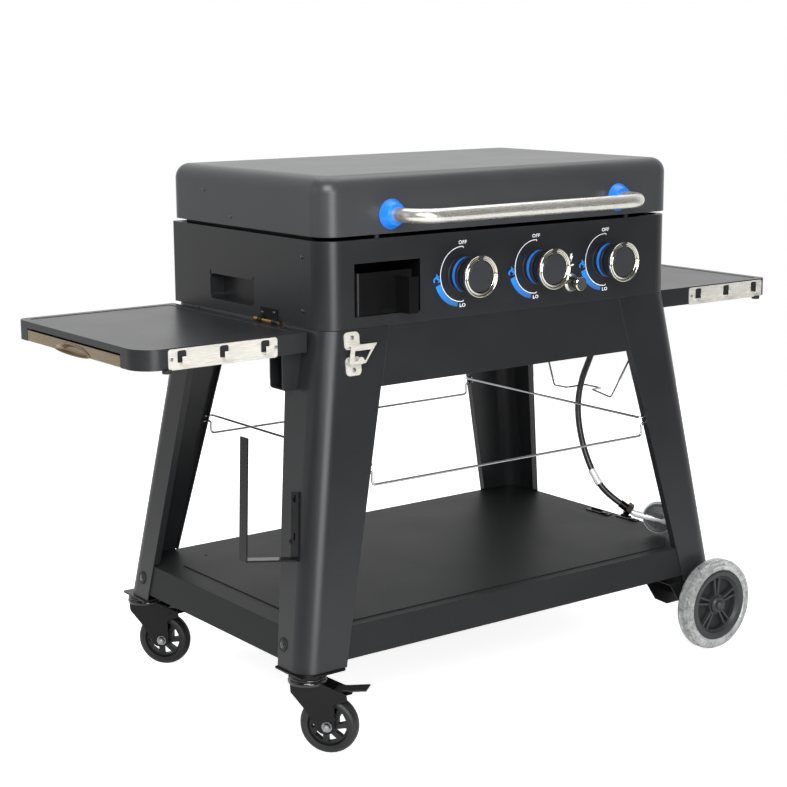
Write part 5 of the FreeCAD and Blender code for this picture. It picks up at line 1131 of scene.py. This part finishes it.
@dataclass
class Fittings:
    """Screws, nuts, clips and pads: where each sits, with its sizes, in millimetres.

    Rows of pairs are (y, z), but (x, y) for the rests; a pad's size is its radius and height.
    """

    shop: Workshop
    head_x: float = 402.5
    head_y: float = 250.0
    head_z: float = 708.0
    lid_x: float = 403.5
    leg_slope_x: float = 0.16124
    leg_slope_y: float = 0.10235
    panel_screw_y: float = -187.5
    panel_screw_z: Pair = (829.0, 737.0)
    rivets: Profile = ((127.0, 923.0), (37.6, 880.6))
    lock_screws: Profile = ((-62.0, 721.0), (-100.0, 724.0))
    lock_plate: float = 1.5
    rail_screws: Profile = ((157.7, 704.0), (-131.0, 702.0))
    rest_z: float = 857.6
    rest_size: Pair = (5.0, 6.7)
    rests: Profile = ((289.0, -243.0), (340.0, 243.0))
    bumpers_x: Pair = (-678.0, 695.0)
    bumper_yz: Pair = (-207.9, 669.9)
    bumper_size: Pair = (8.0, 6.0)
    strips_x: tuple[Pair, ...] = ((-670.4, -473.4), (506.4, 704.3))
    strip_yz: Pair = (-210.2, 686.0)
    opener_x: float = -348.8
    opener_z: Pair = (694.4, 640.0)
    opener_plate: float = 2.2
    towel_screws: Profile = ((-219.5, 423.0), (-228.0, 354.0))
    towel_plate: float = 3.1
    foot_y: Pair = (-239.1, 251.5)
    foot_z: float = 180.0
    foot_washer: Pair = (12.5, 2.0)
    foot_proud: float = 1.6
    wheel_x: float = 466.0
    wheel_z: float = 90.0
    window_y: float = 330.95
    window_radii: Pair = (17.5, 53.0)
    shade_mm: float = 0.3
    clips: tuple[tuple[Point, float], ...] = (
        ((460.0, -4.0, 208.4), 66.0),
        ((472.0, -78.0, 208.4), 56.0),
    )
    caster_x: float = 467.3
    caster_y: float = 281.2
    caster_heading: float = -50.0
    # The axle's trail behind the pivot, its nuts' distance to each side, and its height.
    axle_mm: Point = (38.0, 19.1, 51.0)
    nut_across: float = 13.0
    # Each race's height over the floor, its inner radius and its depth.
    upper_race: tuple[float, float, float] = (130.8, 31.05, 4.0)
    lower_race: tuple[float, float, float] = (122.6, 32.05, 7.4)

    def build(self) -> None:
        """Places every screw, nut, clip and pad."""
        self.head()
        self.shelves()
        self.legs()
        self.wheels()
        self.casters()

    def leg_x(self, z: float) -> float:
        """Gives the distance of the legs' side plane from the centre at a height."""
        return self.head_x + self.leg_slope_x * (self.head_z - z)

    def leg_y(self, z: float) -> float:
        """Gives the distance of the legs' front plane from the centre at a height."""
        return self.head_y + self.leg_slope_y * (self.head_z - z)

    def head(self) -> None:
        """Places the head's and the lid's screws, rivets and rests."""
        add, left = self.shop.add, (-1.0, 0.0, 0.0)
        for i, z in enumerate(self.panel_screw_z, 1):
            for side in (-1, 1):
                made = screw((side * self.head_x, self.panel_screw_y, z), (side, 0, 0), 8.0)
                add(f"panel_screw_{i}_{side + 1}", made, Coat.RACE)
        for i, (y, z) in enumerate(self.rivets, 1):
            add(f"lid_rivet_{i}", screw((-self.lid_x, y, z), left, 7.0), Coat.RACE, "lid")
        for i, (y, z) in enumerate(self.lock_screws, 1):
            spot = (-self.head_x - self.lock_plate, y, z)
            add(f"lock_screw_{i}", screw(spot, left, 7.0), Coat.RACE)
        for i, (y, z) in enumerate(self.rail_screws, 1):
            add(f"rail_screw_{i}", screw((-self.leg_x(z), y, z), left, 5.0), Coat.DIP_COAT)
        for side in (-1, 1):
            for name, (x, y) in zip(("lid_rest", "lid_rest_back"), self.rests):
                rest = pad((side * x, y, self.rest_z), (0, 0, 1), *self.rest_size)
                add(f"{name}_{side + 1}", rest, Coat.PAD)

    def shelves(self) -> None:
        """Places the side shelves' bumpers and the screws of their hook strips."""
        bodies = ("shelf_left", "shelf_right")
        for i, (body, x) in enumerate(zip(bodies, self.bumpers_x), 1):
            made = pad((x, *self.bumper_yz), (0, 0, -1), *self.bumper_size)
            self.shop.add(f"shelf_bumper_{i}", made, Coat.PAD, body)
        for body, spots in zip(bodies, self.strips_x):
            for i, x in enumerate(spots, 1):
                made = screw((x, *self.strip_yz), (0, -1, 0), 6.5)
                self.shop.add(f"strip_screw_{body}_{i}", made, Coat.ZINC, body)

    def legs(self) -> None:
        """Places the opener's, the towel post's and the feet's screws on the leaning legs."""
        add, front, side = self.shop.add, (0, -1, self.leg_slope_y), (-1, 0, self.leg_slope_x)
        for i, z in enumerate(self.opener_z, 1):
            spot = (self.opener_x, -self.leg_y(z) - self.opener_plate, z)
            add(f"opener_screw_{i}", screw(spot, front, 8.0), Coat.ZINC)
        for i, (y, z) in enumerate(self.towel_screws, 1):
            spot = (-self.leg_x(z) - self.towel_plate, y, z)
            add(f"towel_screw_{i}", screw(spot, side, 9.0), Coat.DIP_COAT)
        for i, y in enumerate(self.foot_y, 1):
            for way in (-1, 1):
                spot = (way * self.leg_x(self.foot_z), y, self.foot_z)
                out = (way, 0.0, self.leg_slope_x)
                add(f"foot_washer_{i}_{way + 1}", pad(spot, out, *self.foot_washer), Coat.PAD)
                proud = Vector(spot) + Vector(out).normalized() * self.foot_proud
                add(f"foot_bolt_{i}_{way + 1}", screw(proud, out, 13.0), Coat.RACE)

    def wheels(self) -> None:
        """Lays a dark ring of painted shade on the floor of each wheel's windows, and places the
        shelf's clips.
        """
        (a, b), h = self.window_radii, self.shade_mm
        for name, way in (("front", -1), ("rear", 1)):
            place = axis_place((self.wheel_x, way * self.window_y, self.wheel_z), (0, way, 0))
            made = turned([(a, 0), (a, h), (b, h), (b, 0)], place, 96)
            self.shop.add(f"wheel_shade_{name}", made, Coat.DEEP, f"wheel_{name}")
        for i, (spot, length) in enumerate(self.clips, 1):
            self.shop.add(f"rim_clip_{i}", clip(spot, length), Coat.DIP_COAT)

    def casters(self) -> None:
        """Places each caster's axle nuts and glossy race rings."""
        turn = Matrix.Rotation(math.radians(self.caster_heading), 4, "Z")
        trail, face, axle = self.axle_mm
        for end, name in ((-1, "front"), (1, "rear")):
            body, pivot = f"caster_{name}", Vector((-self.caster_x, end * self.caster_y, 0.0))
            for i, way in enumerate((-1, 1), 1):
                spot = pivot + turn @ Vector((trail, way * face, axle))
                made = lock_nut(spot, turn @ Vector((0, way, 0)), self.nut_across)
                self.shop.add(f"caster_nut_{name}_{i}", made, Coat.ZINC, body, 28)
            levels = (("upper", "station", self.upper_race), ("lower", body, self.lower_race))
            for level, owner, (z, r, h) in levels:
                profile = [(r, 0), (r + 1.0, 0.3), (r + 1.6, h * 0.35), (r + 1.5, h * 0.6)]
                profile += [(r + 0.7, h * 0.9), (r, h)]
                made = turned(profile, axis_place((pivot.x, pivot.y, z), (0, 0, 1)), 72)
                self.shop.add(f"race_{level}_{name}", made, Coat.RACE, owner, 50)


def main() -> None:
    """Builds the whole picture."""
    logging.basicConfig(level=logging.INFO, format="%(name)s: %(message)s")
    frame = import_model()
    shop = Workshop(frame["nodes"])
    StudioCamera().build()
    GasHose().build(shop)
    Studio().build()
    for kind, names in COATED.items():
        for name in names:
            shop.dress_node(name, kind)
    for number, x in enumerate(DIAL_X, 1):
        Dial(shop, number, x).build()
    IgniterSigns().build(shop)
    Fittings(shop).build()


if __name__ == "__main__":
    main()
